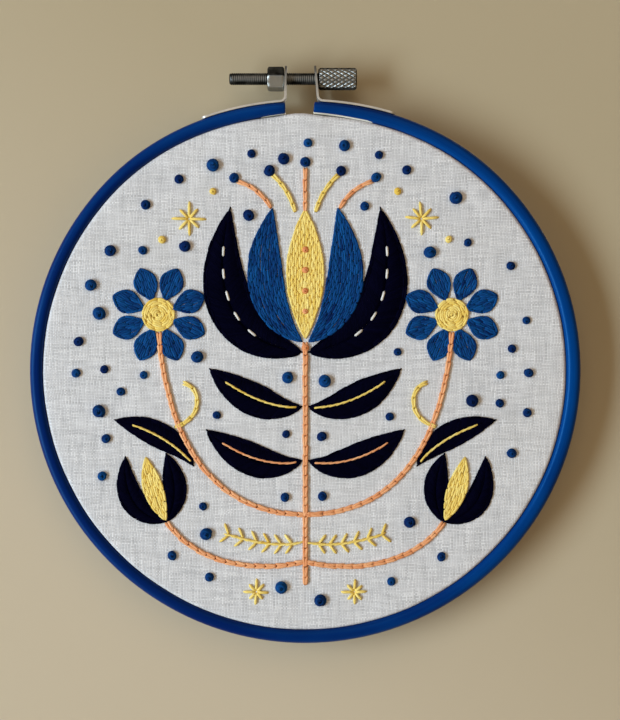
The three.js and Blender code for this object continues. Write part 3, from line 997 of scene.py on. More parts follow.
def strip_path(row):
    """Places in X and Z along the middle of a strip, from the top of its ear to the end of its flange."""
    outset = STRIP_SEAT + STRIP_THICK / 2
    across, tall = HALF_WIDTH + outset, HALF_HEIGHT + outset
    lean = math.radians(row["lean"])
    up = Vector((-row["towards"] * math.sin(lean), math.cos(lean)))
    on_axis = Vector((row["ear_x"], SCREW_Z))
    ring_top = tall * math.sin(math.acos(row["ear_x"] / across))
    foot_z = MIDDLE_Z + ring_top * kept_share(row["ear_x"], ring_top)
    foot = on_axis - up * (SCREW_Z - foot_z) / up.y
    bend_top = foot + up * STRIP_BEND
    angles = np.linspace(math.acos((foot.x + row["towards"] * STRIP_BEND) / across),
                         math.acos(row["flange_end"] / across), FLANGE_PLACES)
    oval = [Vector((across * math.cos(a), tall * math.sin(a))) for a in angles]
    flange = [place * kept_share(*place) + Vector((0, MIDDLE_Z)) for place in oval]
    shares = np.linspace(0, 1, BEND_PLACES)[:-1]
    bend = [bend_top.lerp(foot, share).lerp(foot.lerp(flange[0], share), share) for share in shares]
    return np.array([on_axis + up * EAR_RISE, *bend, *flange])


def strip_blank(bm, length):
    """A flat blank along X with a round ear at 0, a hole in the ear and a softly cut far end."""
    size, middle = (length, STRIP_WIDTH), (length / 2, 0)
    rounded_outline(bm, size, middle, 0, (EAR_CORNER, STRIP_END_ROUND), EAR_STEPS)
    bmesh.ops.create_circle(bm, segments=HOLE_SEGMENTS, radius=EAR_HOLE,
                            matrix=Matrix.Translation((EAR_RISE, 0, 0)))
    bmesh.ops.triangle_fill(bm, edges=bm.edges[:], use_beauty=True)


def make_strip(row):
    path = strip_path(row)
    travelled = np.concatenate(([0], np.cumsum(np.linalg.norm(np.diff(path, axis=0), axis=1))))
    bm = bmesh.new()
    strip_blank(bm, travelled[-1])
    for place in travelled[1:-1]:
        bmesh.ops.bisect_plane(bm, geom=bm.verts[:] + bm.edges[:] + bm.faces[:], dist=WELD_REACH,
                               plane_co=(place, 0, 0), plane_no=(1, 0, 0))
    for vert in bm.verts:
        x = np.interp(vert.co.x, travelled, path[:, 0])
        z = np.interp(vert.co.x, travelled, path[:, 1])
        vert.co = (x, vert.co.y, z)
    name = "clamp_strip_" + row["name"]
    strip = keep(name, to_mesh(name, bm), STRIP_STEEL, "bracket_" + row["name"])
    sheet = strip.modifiers.new("sheet", "SOLIDIFY")
    sheet.thickness = STRIP_THICK
    sheet.offset = 0.0
    broken_edge = strip.modifiers.new("broken_edge", "BEVEL")
    broken_edge.width = STRIP_EDGE
    broken_edge.segments = 2
    broken_edge.limit_method = "ANGLE"
    broken_edge.harden_normals = True


for row in STRIPS:
    make_strip(row)

# %% [markdown]
# The thumb screw is turned from one bar. Its thread is the textbook use of spin with a step along the axis:
# a small ridge section goes round and moves on by one pitch each turn. The knob and the nut are grids rolled
# round the axis, row by row, at a radius that a formula gives for each angle. For the knob that formula is
# two crossing sets of grooves, which is what a knurling wheel presses, and small flat-topped pyramids stay
# between them. Above and below a band round the middle of the shank and of the knob the steel is painted
# darker: painted shade for the dark room that a round bar reflects at its top and bottom.

# %% Thumb screw
AROUND_SCREW = (1, 0, 0)
SHANK_CREST = 1.78 * MM
SHANK_ROOT = 1.56 * MM
SHANK_POINT = 0.2 * MM
SHANK_RUBBED = SHANK_CREST + 0.15 * MM
SCREW_PITCH = 0.6 * MM
STEPS_PER_TURN = 14
RIDGE_FOOT = SCREW_PITCH * 0.46
RIDGE_FLAT = SCREW_PITCH * 0.29
RIDGE_SUNK = SHANK_ROOT - 0.08 * MM
KNOB_RADIUS = 3.25 * MM
KNOB_LENGTH = 11.25 * MM
KNOB_CHAMFER = 0.5 * MM
KNOB_START = screw_high.x - KNOB_LENGTH
KNURL_STARTS = 14
KNURL_REPEATS = 5.5
KNURL_DEPTH = 0.32 * MM
KNURL_FLANK = 0.30
KNURL_CUTS = 12
KNURL_RUBBED = KNOB_RADIUS - 0.5 * KNURL_DEPTH
# Bands where the turned steel keeps its light; outside them it gets painted shade.
SHANK_LIT_BAND = (-0.3, 0.3)
KNOB_LIT_BAND = (-0.86, 0.86)
PAINTED_SHADE_SHARE = 0.1
SHARP_ANGLE = math.radians(38)


def rolled(bm, around, rows, radius_at):
    """Rolls a grid round the X axis, one row for each place and limit, at a radius set by the angle."""
    made = bmesh.ops.create_grid(bm, x_segments=around, y_segments=len(rows) - 1, size=0.5)["verts"]
    for vert in made:
        turn = 2 * math.pi * vert.co.x
        x, limit = rows[round((vert.co.y + 0.5) * (len(rows) - 1))]
        radius = min(limit, radius_at(turn, x))
        vert.co = (x, -radius * math.cos(turn), radius * math.sin(turn))
    weld(bm)


def knurled(turn, x):
    """The knob's radius: small flat-topped pyramids between two crossing sets of grooves."""
    turned = KNURL_STARTS * turn / (2 * math.pi)
    passed = KNURL_REPEATS * (x - KNOB_START) / KNOB_LENGTH
    from_groove = [abs((phase + 0.5) % 1.0 - 0.5) for phase in (turned + passed, turned - passed)]
    return KNOB_RADIUS - KNURL_DEPTH * (1 - min(1.0, min(from_groove) / KNURL_FLANK))


def add_shank(bm):
    """The bare core of the screw, closed at both ends."""
    knob_inside = KNOB_START + KNOB_CHAMFER
    places = [(screw_low.x, 0), (screw_low.x, SHANK_ROOT - SHANK_POINT),
              (screw_low.x + SHANK_POINT, SHANK_ROOT), (knob_inside, SHANK_ROOT), (knob_inside, 0)]
    chain = [bm.verts.new((x, 0, radius)) for x, radius in places]
    for pair in zip(chain, chain[1:]):
        bm.edges.new(pair)
    sweep_round(bm, AROUND_SCREW, 2 * math.pi, 2 * STEPS_PER_TURN, True)


def add_thread(bm):
    """A ridge that winds along the core, worn down where it starts."""
    start = screw_low.x + RIDGE_FOOT
    outline = [(-RIDGE_FOOT, RIDGE_SUNK), (-RIDGE_FLAT, SHANK_CREST),
               (RIDGE_FLAT, SHANK_CREST), (RIDGE_FOOT, RIDGE_SUNK)]
    corners = [bm.verts.new((start + x, 0, radius)) for x, radius in outline]
    edges = [bm.edges.new((corners[i], corners[i - 1])) for i in range(len(corners))]
    steps = int((KNOB_START - start) / SCREW_PITCH * STEPS_PER_TURN)
    before = set(bm.verts) - set(corners)
    bmesh.ops.spin(bm, geom=corners + edges, cent=(0, 0, 0), axis=AROUND_SCREW,
                   dvec=(SCREW_PITCH / STEPS_PER_TURN, 0, 0), angle=2 * math.pi * steps / STEPS_PER_TURN,
                   steps=steps, use_duplicate=False)
    bmesh.ops.holes_fill(bm, edges=[edge for edge in bm.edges if edge.is_boundary], sides=4)
    for vert in set(bm.verts) - before:
        radius = math.hypot(vert.co.y, vert.co.z)
        worn = min(1.0, (vert.co.x - screw_low.x) / SCREW_PITCH)
        lower = (RIDGE_SUNK + (radius - RIDGE_SUNK) * worn) / radius
        vert.co.y *= lower
        vert.co.z *= lower


def add_knob(bm):
    """The knurled knob, with both ends turned flat and chamfered."""
    low = KNOB_RADIUS - KNOB_CHAMFER
    rows = [(KNOB_START, 0.0)]
    for share in np.linspace(0, 1, round(KNURL_REPEATS * KNURL_CUTS) + 1):
        from_end = KNOB_LENGTH * min(share, 1 - share)
        rows.append((KNOB_START + KNOB_LENGTH * share, low + min(from_end, KNOB_CHAMFER)))
    rows.append((screw_high.x, 0.0))
    rolled(bm, KNURL_STARTS * KNURL_CUTS, rows, knurled)


def mark_crests(bm, low, high, lit_from, lit_to):
    """Writes how far each vertex stands out of its groove, lowered outside a band as painted shade."""
    crest = bm.verts.layers.float.new("crest")
    for vert in bm.verts:
        radius = math.hypot(vert.co.y, vert.co.z)
        # Outside the band the value is lowered: painted shade.
        band_light = 1.0 if lit_from < vert.co.z / high < lit_to else PAINTED_SHADE_SHARE
        vert[crest] = band_light * min(1.0, max(0.0, (radius - low) / (high - low)))


def turned_piece(name, bm, node):
    """Lifts what was made round the X axis to the screw's height, and keeps it."""
    bmesh.ops.translate(bm, vec=(0, 0, SCREW_Z), verts=bm.verts[:])
    mesh = to_mesh(name, bm)
    keep(name, mesh, SCREW_STEEL, node)
    mesh.set_sharp_from_angle(angle=SHARP_ANGLE)


def make_screw():
    bm = bmesh.new()
    add_shank(bm)
    add_thread(bm)
    mark_crests(bm, SHANK_ROOT, SHANK_RUBBED, *SHANK_LIT_BAND)
    knob = bmesh.new()
    add_knob(knob)
    mark_crests(knob, KNOB_RADIUS - KNURL_DEPTH, KNURL_RUBBED, *KNOB_LIT_BAND)
    joined = bpy.data.meshes.new("knob_part")
    knob.to_mesh(joined)
    knob.free()
    bm.from_mesh(joined)
    bpy.data.meshes.remove(joined)
    turned_piece("thumb_screw_turned", bm, "thumb_screw")


make_screw()

# %% [markdown]
# The nut is rolled in the same way, at the radius of a hexagon, and its two ends are chamfered round. It is
# drawn up to the ear, and it stands a little turned, as a nut that was tightened by hand. Its upper part is
# painted darker: painted shade for the dark room that its top reflects.

# %% Nut
NUT_FLATS = 6.3 * MM
NUT_TURN = math.radians(18.5)
NUT_BORE = 1.82 * MM
NUT_CHAMFER = 0.55 * MM
NUT_CHAMFER_SLOPE = 1.4
NUT_SEAT = 0.28 * MM
NUT_SIDES = 6
NUT_AROUND = NUT_SIDES * 10
NUT_ROWS = 13
# Above this band the nut gets painted shade.
NUT_LIT_BAND = (-2.0, 0.18)


def hexagon(turn, x):
    """The radius of a hexagon, the same at every place along the screw, with one flat at the front."""
    side = 2 * math.pi / NUT_SIDES
    from_flat = (turn + side / 2) % side - side / 2
    return NUT_FLATS / 2 / math.cos(from_flat)


def make_nut():
    bm = bmesh.new()
    corner = NUT_FLATS / 2 / math.cos(math.pi / NUT_SIDES)
    right = nut_high.x + NUT_SEAT
    length = right - nut_low.x
    rows = [(nut_low.x, NUT_BORE)]
    for share in np.linspace(0, 1, NUT_ROWS):
        from_end = length * min(share, 1 - share)
        rows.append((nut_low.x + length * share, corner - NUT_CHAMFER + from_end * NUT_CHAMFER_SLOPE))
    rows.append((right, NUT_BORE))
    rows.append((nut_low.x, NUT_BORE))
    rolled(bm, NUT_AROUND, rows, hexagon)
    turn_all(bm, NUT_TURN, "X")
    mark_crests(bm, NUT_BORE, NUT_FLATS / 2, *NUT_LIT_BAND)
    turned_piece("clamp_nut", bm, "nut")


make_nut()

# %% [markdown]
# Now the needlework. Every stitch is a short tube that comes up out of the cloth, lies on it and goes down
# again. There are thousands, so they are not modelled one by one: a function takes all the routes of one
# kind of stitch as an array and makes six-sided tubes of them together. Routes are in millimetres on the
# cloth: right, up, and out from its front. Each tube also gets the strand map and a tone of its own.

# %% Stitch maker
TUBE_SIDES = 6
TIP_SHARE = 0.45
MAP_SHIFT = 50
TINY = 1e-9
MIDDLE_TONE = 0.5
TONE_SPREAD = 0.13
BEHIND = {"depths": (-0.05, 0.2, 0.2, -0.05), "flatness": 0.7, "tone": 0.45, "width": 0.6}
needle = np.random.default_rng(7)
laid = {thread: [] for thread in THREADS}
laid_behind = {thread: [] for thread in THREADS}
motif_places = []


def on_cloth(routes):
    """Places on the cloth in millimetres become places in the frame in metres."""
    across, high, out = np.moveaxis(routes, -1, 0) * MM
    return np.stack((across, CLOTH_FRONT - out, MIDDLE_Z + high), axis=-1)


def tubes(routes, width, height):
    """Vertices, faces and strand maps of equal tubes along routes of the same number of places."""
    count, places = routes.shape[:2]
    centres = on_cloth(routes)
    ahead = np.gradient(centres, axis=1)
    ahead /= np.linalg.norm(ahead, axis=2, keepdims=True)
    side = np.cross(ahead, (0.0, -1.0, 0.0))
    side /= np.linalg.norm(side, axis=2, keepdims=True) + TINY
    up = np.cross(side, ahead)
    share = np.ones((1, places, 1, 1)) * MM / 2
    share[:, [0, -1]] *= TIP_SHARE
    angle = (2 * np.pi * np.arange(TUBE_SIDES) / TUBE_SIDES - np.pi / 2).reshape(1, 1, -1, 1)
    rim = side[:, :, None] * np.cos(angle) * width + up[:, :, None] * np.sin(angle) * height
    vertices = (centres[:, :, None] + rim * share).reshape(-1, 3)
    number = np.arange(count * places * TUBE_SIDES).reshape(count, places, TUBE_SIDES)
    beside = np.roll(number, -1, axis=2)
    walls = np.stack((number[:, :-1], number[:, 1:], beside[:, 1:], beside[:, :-1]), axis=-1).reshape(-1, 4)
    first, last = number[:, 0], number[:, -1]
    caps = np.stack((first[:, [0, 1, 2, 3]], first[:, [0, 3, 4, 5]],
                     last[:, [3, 2, 1, 0]], last[:, [5, 4, 3, 0]]), axis=1).reshape(-1, 4)
    faces = np.concatenate((walls, caps))
    steps = np.linalg.norm(np.diff(routes, axis=1), axis=2)
    along = np.concatenate((np.zeros((count, 1)), np.cumsum(steps, axis=1)), axis=1)
    along += needle.uniform(0, MAP_SHIFT, (count, 1))
    along = np.repeat(along, TUBE_SIDES, axis=1).reshape(-1)
    turn = np.tile(np.arange(TUBE_SIDES) / TUBE_SIDES, count * places)[faces]
    wraps = turn.max(axis=1) - turn.min(axis=1) > 0.5
    wraps[len(walls):] = False
    turn[wraps] += turn[wraps] < 0.5
    return vertices, faces, np.stack((along[faces], turn), axis=-1)


def lay(thread, routes, width, height, tone=MIDDLE_TONE, tone_spread=TONE_SPREAD, root_shade=0.0):
    """Adds stitches of one thread to what is laid, each painted darker at its root, a painted shadow of the
    needle hole, and notes where they are.
    """
    routes = np.asarray(routes, dtype=float)
    vertices, faces, strand = tubes(routes, width, height)
    tones = tone + needle.normal(0, tone_spread, (len(routes), 1))
    darker = np.zeros(routes.shape[1])
    darker[0] = root_shade
    tones = np.repeat(tones - darker, TUBE_SIDES, axis=1).ravel()
    laid[thread].append((vertices, faces, strand, tones))
    motif_places.append(routes[..., :2].reshape(-1, 2))


def lay_behind(thread, routes, width=BEHIND["width"]):
    """The same stitches as they pass behind the cloth: straight, from where one ends to where it began."""
    places = len(BEHIND["depths"])
    share = np.linspace(0, 1, places)[None, :, None]
    routes = np.asarray(routes, dtype=float)
    straight = routes[:, :1] + (routes[:, -1:] - routes[:, :1]) * share
    straight[..., 2] = -CLOTH_THICK / MM - np.array(BEHIND["depths"])
    vertices, faces, strand = tubes(straight, width, BEHIND["flatness"] * width)
    tones = np.repeat(BEHIND["tone"] + needle.normal(0, TONE_SPREAD, len(routes)), places * TUBE_SIDES)
    laid_behind[thread].append((vertices, faces, strand, tones))


print("threads on the needle:", ", ".join(laid))

# %% [markdown]
# Leaves and petals are drawn as an embroiderer chalks them: a curved spine from base to tip and a width
# that swells and narrows along it. The spine is a Bezier curve of three places, and a stem is one of three
# or more. The helpers below walk along such curves at even steps.

# %% Curves to stitch along
LEAF_FULLNESS = 0.85
LEAF_SAMPLES = 160
LINE_SAMPLES = 120


def bezier(places, t):
    """Places on a Bezier curve through its first and last control place."""
    places = np.asarray(places, dtype=float)
    degree = len(places) - 1
    t = np.asarray(t, dtype=float)[:, None]
    weights = [math.comb(degree, i) * t ** i * (1 - t) ** (degree - i) for i in range(degree + 1)]
    return sum(weight * place for weight, place in zip(weights, places))


def ahead_on(route):
    """Unit vectors along a route."""
    ahead = np.gradient(route, axis=0)
    return ahead / (np.linalg.norm(ahead, axis=1, keepdims=True) + TINY)


def left_of(route):
    """Unit vectors to the left of a route."""
    ahead = ahead_on(route)
    return np.column_stack((-ahead[:, 1], ahead[:, 0]))


def walk(route):
    """How far each place of a route is from its start."""
    return np.concatenate(([0], np.cumsum(np.linalg.norm(np.diff(route, axis=0), axis=1))))


def pairs_at(pairs, travelled, distances):
    """Pairs of numbers that go with the places of a route, at given distances from its start."""
    return np.column_stack([np.interp(distances, travelled, pairs[:, axis]) for axis in (0, 1)])


def places_at(route, distances):
    """Places on a route at given distances from its start."""
    return pairs_at(route, walk(route), distances)


def line_shape(places):
    """The route of a line, the left of it and how far each of its places is from its start."""
    route = bezier(places, np.linspace(0, 1, LINE_SAMPLES))
    return route, left_of(route), walk(route)


def leaf_shape(leaf, samples=LEAF_SAMPLES):
    """A leaf's spine, the left of it and half its width, at even shares of its length."""
    t = np.linspace(0, 1, samples)
    curve = bezier((leaf["base"], leaf["bend"], leaf["tip"]), t)
    spine = places_at(curve, t * walk(curve)[-1])
    half = leaf["width"] / 2 * np.sin(np.pi * t ** leaf.get("belly", 1.0)) ** LEAF_FULLNESS
    return spine, left_of(spine), half


def arch(places, rise, sink):
    """Heights along a stitch that comes up, lies on the cloth and goes down."""
    share = np.linspace(-1, 1, places)
    return rise * (1 - share ** 4) - sink * share ** 4


print("curve helpers ready")

# %% [markdown]
# Satin stitch fills the dark leaves and petals with threads side by side, slanting from the spine out to
# the edge, so each half swells. Rows of split stitch near the edge are the padding that firms the outline.
# Two threads lie closer than their own width, the ends stop a hair short or long of the line, as they do
# by hand, and one straight stitch closes each tip.

# %% Satin stitch
SHORTEST = 0.8
SATIN = {"pitch": 0.40, "width": 0.56, "height": 0.36, "slant": 0.75, "places": 7, "samples": 400}
SATIN_EDGE = {"wander": 0.03, "dip": 0.16, "sharpness": 6, "past_spine": 0.1}
SATIN_CROWN = {"least": 0.34, "more": 0.42, "full_reach": 5.0, "at_root": 0.2}
PADDING = {"insets": (0.25, 0.9), "skipped": 4, "out": -0.05}
SATIN_TIP = {"samples": 40, "past": 0.12, "width": 0.7}


def satin(leaf, thread):
    spine, left, half = leaf_shape(leaf, SATIN["samples"])
    travelled = walk(spine)
    root_at = np.arange(SATIN["pitch"] / 2, travelled[-1], SATIN["pitch"])
    share = np.linspace(0, 1, SATIN["places"])
    swell = np.sin(np.pi * (SATIN_CROWN["at_root"] + (1 - SATIN_CROWN["at_root"]) * share))
    swell -= SATIN_EDGE["dip"] * share ** SATIN_EDGE["sharpness"]
    for side in (-1, 1):
        reach = np.interp(root_at, travelled, half)
        edge_at = np.minimum(root_at + SATIN["slant"] * reach, travelled[-1])
        edge = pairs_at(spine + side * left * half[:, None], travelled, edge_at)
        edge += needle.normal(0, SATIN_EDGE["wander"], (len(root_at), 2))
        root = places_at(spine - side * left * SATIN_EDGE["past_spine"], root_at)
        long_enough = np.linalg.norm(edge - root, axis=1) > SHORTEST
        root, edge, reach = root[long_enough], edge[long_enough], reach[long_enough]
        flat = root[:, None] + (edge - root)[:, None] * share[None, :, None]
        crown = SATIN_CROWN["least"] + SATIN_CROWN["more"] * np.minimum(1, reach / SATIN_CROWN["full_reach"])
        routes = np.dstack((flat, crown[:, None] * swell[None]))
        lay(thread, routes, SATIN["width"], SATIN["height"])
        lay_behind(thread, routes, SATIN["width"])
        for inset in PADDING["insets"]:
            padding = spine + side * left * np.maximum(0, half - inset)[:, None]
            split_row(thread, padding[PADDING["skipped"]:-PADDING["skipped"]], PADDING["out"])
    inside = SATIN_TIP["samples"]
    for end, inward in ((spine[-1], spine[-inside]), (spine[0], spine[inside])):
        straight(thread, [(end + SATIN_TIP["past"] * (end - inward), inward)], SATIN_TIP["width"])


print("satin stitch ready")

# %% [markdown]
# Split stitch fills the blue and yellow shapes. Each stitch comes up through the end of the one before, so
# a row looks like a fine chain. Rows run side by side along the spine, sway a little as rows do by hand,
# and stop where the shape narrows. Two last rows follow the outline and tidy their ends, and the middle of
# a flower is rings of the same rows.

# %% Split stitch
ROW = {"pitch": 0.61, "length": 3.3, "overlap": 0.9, "places": 6, "width": 0.88, "height": 0.52,
       "rise": 0.34, "sink": 0.02, "tone_spread": 0.19}
ROW_BY_HAND = {"count": 0.3, "ends": 0.35, "aside": 0.05, "sway": 0.10, "waves": 1.4}
FILL = {"margin": 1.0, "clear": 0.12, "outline_inset": 0.25, "outline_out": 0.05}
FILL_TIP = {"samples": 24, "width": 0.9, "out": -0.06}
DISC = {"places": 60, "out": 0.1}


def split_row(thread, route, out=0.0):
    """One row of split stitches along a route."""
    total = walk(route)[-1]
    if total < SHORTEST:
        return
    chance = needle.uniform(-ROW_BY_HAND["count"], ROW_BY_HAND["count"])
    count = max(1, round(total / ROW["length"] + chance))
    ends = np.linspace(0, total, count + 1)
    ends[1:-1] += needle.normal(0, ROW_BY_HAND["ends"], count - 1)
    stitches = []
    for start, end in zip(ends, ends[1:]):
        flat = places_at(route, np.linspace(max(0, start - ROW["overlap"]), end, ROW["places"]))
        flat += needle.normal(0, ROW_BY_HAND["aside"], 2)
        stitches.append(np.column_stack((flat, out + arch(ROW["places"], ROW["rise"], ROW["sink"]))))
    lay(thread, stitches, ROW["width"], ROW["height"], MIDDLE_TONE, ROW["tone_spread"])
    lay_behind(thread, stitches)


def split_fill(leaf, thread):
    spine, left, half = leaf_shape(leaf)
    rows = max(1, round((leaf["width"] - FILL["margin"]) / ROW["pitch"]))
    waves = np.linspace(0, ROW_BY_HAND["waves"], len(spine))
    for row in range(rows):
        aside = (row - (rows - 1) / 2) * ROW["pitch"]
        inside = half > abs(aside) + FILL["clear"]
        sway = ROW_BY_HAND["sway"] * np.sin(2 * np.pi * (waves + needle.uniform(0, 1)))
        if inside.sum() > 2:
            split_row(thread, (spine + left * (aside + sway)[:, None])[inside])
    for side in (-1, 1):
        outline = spine + side * left * np.maximum(0, half - FILL["outline_inset"])[:, None]
        split_row(thread, outline, FILL["outline_out"])
    within = FILL_TIP["samples"]
    tips = [(spine[-1], spine[-within]), (spine[0], spine[within])]
    straight(thread, tips, FILL_TIP["width"], FILL_TIP["out"])


def split_disc(thread, middle, radius):
    """Rings of split stitch from the middle out."""
    turn = np.linspace(0, 2 * np.pi, DISC["places"])
    ring = np.column_stack((np.cos(turn), np.sin(turn)))
    for step in range(max(1, round(radius / ROW["pitch"]))):
        spin = needle.uniform(0, 2 * np.pi)
        turned = ring @ np.array([[math.cos(spin), -math.sin(spin)], [math.sin(spin), math.cos(spin)]])
        split_row(thread, np.array(middle) + turned * (step + 0.5) * ROW["pitch"], DISC["out"])


print("split stitch ready")

# %% [markdown]
# The stems are a thick split stitch: two strands part where the next stitch comes up between them, and the
# hole that the needle leaves there is painted dark, a painted shadow. Veins and the sprig are stem stitch:
# each stitch starts half way back along the one before and crosses from one side of the line to the other.
# Seeds, leaflets and stars are plain straight stitches. A knot is thread wound round the needle and pulled
# down: a short coil that narrows as it rises, never quite round.

# %% Lines, straight stitches and knots
LINE = {"length": 3.0, "overlap": 0.8, "places": 7, "height": 0.62, "rise": 0.42, "sink": 0.12,
        "tone": 0.55, "behind": 0.7}
LINE_HOLE = {"part": 0.52, "narrowest": 0.1, "shade": 1.6, "places": 3, "out": 0.44}
LINE_BY_HAND = {"ends": 0.32, "aside": 0.05}
STEM = {"length": 4.2, "places": 7, "width": 0.62, "height": 0.62, "rise": 0.44, "sink": 0.14,
        "wander": 0.08}
STRAIGHT = {"places": 6, "height": 0.56, "rise": 0.42, "sink": 0.12}
STAR = {"arms": 8, "short": 0.8, "from": 0.25, "width": 0.95, "turn_wander": 0.05, "wander": 0.15}
KNOT = {"turns": 2.3, "places": 34, "coil": 0.60, "coil_power": 2.2, "foot": 0.22, "rise": 0.36,
        "rise_power": 1.2, "width": 0.84, "height": 0.76, "tone": 0.25, "tone_spread": 0.20}
KNOT_BY_HAND = {"smallest": 0.9, "largest": 1.1, "lean": 0.08, "pull": 0.45}
LINE_TONE_SPREAD = 0.16


def stem(thread, places, out=0.0, crossing=0.3):
    """A line of stem stitch."""
    route, left, travelled = line_shape(places)
    room = travelled[-1] - STEM["length"]
    count = max(2, round(room / (STEM["length"] / 2)) + 1)
    aside = np.linspace(-crossing, crossing, STEM["places"])
    height = out + arch(STEM["places"], STEM["rise"], STEM["sink"])
    stitches = []
    for start in np.linspace(0, room, count):
        at = np.linspace(start, start + STEM["length"], STEM["places"]) + needle.normal(0, STEM["wander"])
        flat = places_at(route, at) + pairs_at(left, travelled, at) * aside[:, None]
        stitches.append(np.column_stack((flat, height)))
    lay(thread, stitches, STEM["width"], STEM["height"], MIDDLE_TONE, LINE_TONE_SPREAD)
    lay_behind(thread, stitches)


def split_line(thread, places, width):
    """A line of split stitch: each stitch is two strands that part where the next one comes up."""
    route, left, travelled = line_shape(places)
    count = max(2, round(travelled[-1] / LINE["length"]))
    ends = np.linspace(0, travelled[-1], count + 1)
    ends[1:-1] += needle.normal(0, LINE_BY_HAND["ends"], count - 1)
    parted = LINE_HOLE["part"] * width * np.linspace(LINE_HOLE["narrowest"], 1, LINE["places"]) ** 0.5
    stitches = []
    for start, end in zip(ends, ends[1:]):
        at = np.linspace(max(0, start - LINE["overlap"]), end, LINE["places"])
        across = pairs_at(left, travelled, at)
        wander = needle.normal(0, LINE_BY_HAND["aside"], 2)
        height = arch(LINE["places"], LINE["rise"], LINE["sink"])
        if start > 0:
            height[:LINE_HOLE["places"]] = LINE_HOLE["out"]
        for side in (-1, 1):
            flat = places_at(route, at) + side * across * parted[:, None] + wander
            stitches.append(np.column_stack((flat, height)))
    lay(thread, stitches, width, LINE["height"], LINE["tone"], LINE_TONE_SPREAD, LINE_HOLE["shade"])
    lay_behind(thread, stitches[::2], LINE["behind"])


def straight(thread, pairs, width, out=0.0):
    """Single stitches between pairs of places."""
    share = np.linspace(0, 1, STRAIGHT["places"])[:, None]
    height = out + arch(STRAIGHT["places"], STRAIGHT["rise"], STRAIGHT["sink"])
    stitches = []
    for start, end in np.asarray(pairs, dtype=float):
        stitches.append(np.column_stack((start + (end - start) * share, height)))
    lay(thread, stitches, width, STRAIGHT["height"], MIDDLE_TONE, LINE_TONE_SPREAD)
    lay_behind(thread, stitches)


def star(thread, middle, radius):
    """Arms from one place, every second one shorter."""
    arms = []
    for arm in range(STAR["arms"]):
        turn = 2 * math.pi / STAR["arms"] * arm + needle.normal(0, STAR["turn_wander"])
        outward = np.array((math.cos(turn), math.sin(turn)))
        reach = radius * (1.0 if arm % 2 == 0 else STAR["short"]) + needle.normal(0, STAR["wander"])
        arms.append((middle + outward * reach, middle + outward * STAR["from"]))
    straight(thread, arms, STAR["width"])


def knots(thread, rows, out=0.0):
    """Knots at places, each with a radius."""
    share = np.linspace(0, 1, KNOT["places"])
    for across, high, radius in rows:
        size = radius * needle.uniform(KNOT_BY_HAND["smallest"], KNOT_BY_HAND["largest"])
        turn = 2 * np.pi * KNOT["turns"] * share + needle.uniform(0, 2 * np.pi)
        coil = size * (KNOT["coil"] - KNOT["coil"] * share ** KNOT["coil_power"])
        lift = size * (KNOT["foot"] + KNOT["rise"] * share ** KNOT["rise_power"])
        lean = needle.normal(0, KNOT_BY_HAND["lean"] * size, 2)
        pulled = needle.normal(0, 1, 2)
        pulled *= needle.uniform(0, KNOT_BY_HAND["pull"]) / np.linalg.norm(pulled)
        round_coil = np.column_stack((np.cos(turn), np.sin(turn)))
        oval = round_coil + np.outer(round_coil @ pulled, pulled)
        flat = (across, high) + coil[:, None] * oval + np.outer(share, lean)
        route = np.column_stack((flat, out + lift))
        lay(thread, [route], KNOT["width"] * size, KNOT["height"] * size, KNOT["tone"], KNOT["tone_spread"])


print("lines, straight stitches and knots ready")

# %% [markdown]
# The design is a folk spray of the common kind: a tulip, two daisies, buds, leaves and scattered knots,
# the same on both sides of a stem. It is kept as short tables, in millimetres from the hoop's middle, for
# the right half and for what lies on the middle line.

# %% The chalked design
SATIN_SHAPES = [
    {"base": (1, -10), "bend": (12, -13), "tip": (28, 1), "width": 9.5, "vein": "yellow"},
    {"base": (1, -26), "bend": (13, -31), "tip": (29, -17), "width": 9.5, "vein": "orange"},
    {"base": (33, -27.5), "bend": (38, -18), "tip": (56, -14), "width": 7.5, "vein": "yellow"},
    {"base": (1, 6), "bend": (31, 10), "tip": (22, 48), "width": 13.5, "belly": 0.9, "seeds": 5},
    {"base": (41, -44), "bend": (54, -42), "tip": (53, -25), "width": 7.0},
    {"base": (41, -44), "bend": (36, -36), "tip": (41, -24), "width": 7.0},
]
SPLIT_SHAPES = [
    {"thread": "blue", "base": (1, 9), "bend": (17, 20), "tip": (9.5, 48), "width": 10.5, "belly": 0.95},
    {"thread": "yellow", "base": (41, -44), "bend": (45, -36), "tip": (47, -25), "width": 5.8},
]
STEMS = [
    {"thread": "orange", "places": [(0, -42), (20, -42), (40, -30), (43, 12)], "width": 0.9},
    {"thread": "orange", "places": [(0, -56), (18, -60), (34, -55), (41, -44)], "width": 0.9},
    {"thread": "yellow", "places": [(38.5, -16), (30, -14), (30, -4), (36, -3)], "width": 0.78},
    {"thread": "yellow", "places": [(3, 47), (5, 54), (10, 58)], "width": 0.78},
    {"thread": "orange", "places": [(10, 48), (13, 54), (20, 56)], "width": 0.78},
]
VEIN = {"hundredths": [4, 22, 42, 60, 82], "out": 0.22, "crossing": 0.16}
SEED = {"first": 26, "apart": 12, "length": 6, "width": 0.8, "out": 0.4}
DAISY = {"middle": (43, 17), "petals": 8, "inner": 4.2, "outer": 14.5, "width": 6.8, "belly": 1.25,
         "disc": 4.8}
SPRIG = {"places": [(0, -50), (9, -52.5), (24, -47.5)], "leaflets": 6, "first": 0.2, "last": 0.95,
         "length": 3.6, "ahead": 0.6, "aside": 0.8, "width": 0.85}
STARS = [{"middle": (34, 45), "radius": 5.0}, {"middle": (14.5, -65), "radius": 3.8}]
ACCENT_KNOTS = [("yellow", (27, 53, 1.1)), ("yellow", (42, 39, 1.1)), ("blue", (10.5, 59, 1.6)),
                ("blue", (20.8, 57, 1.6))]
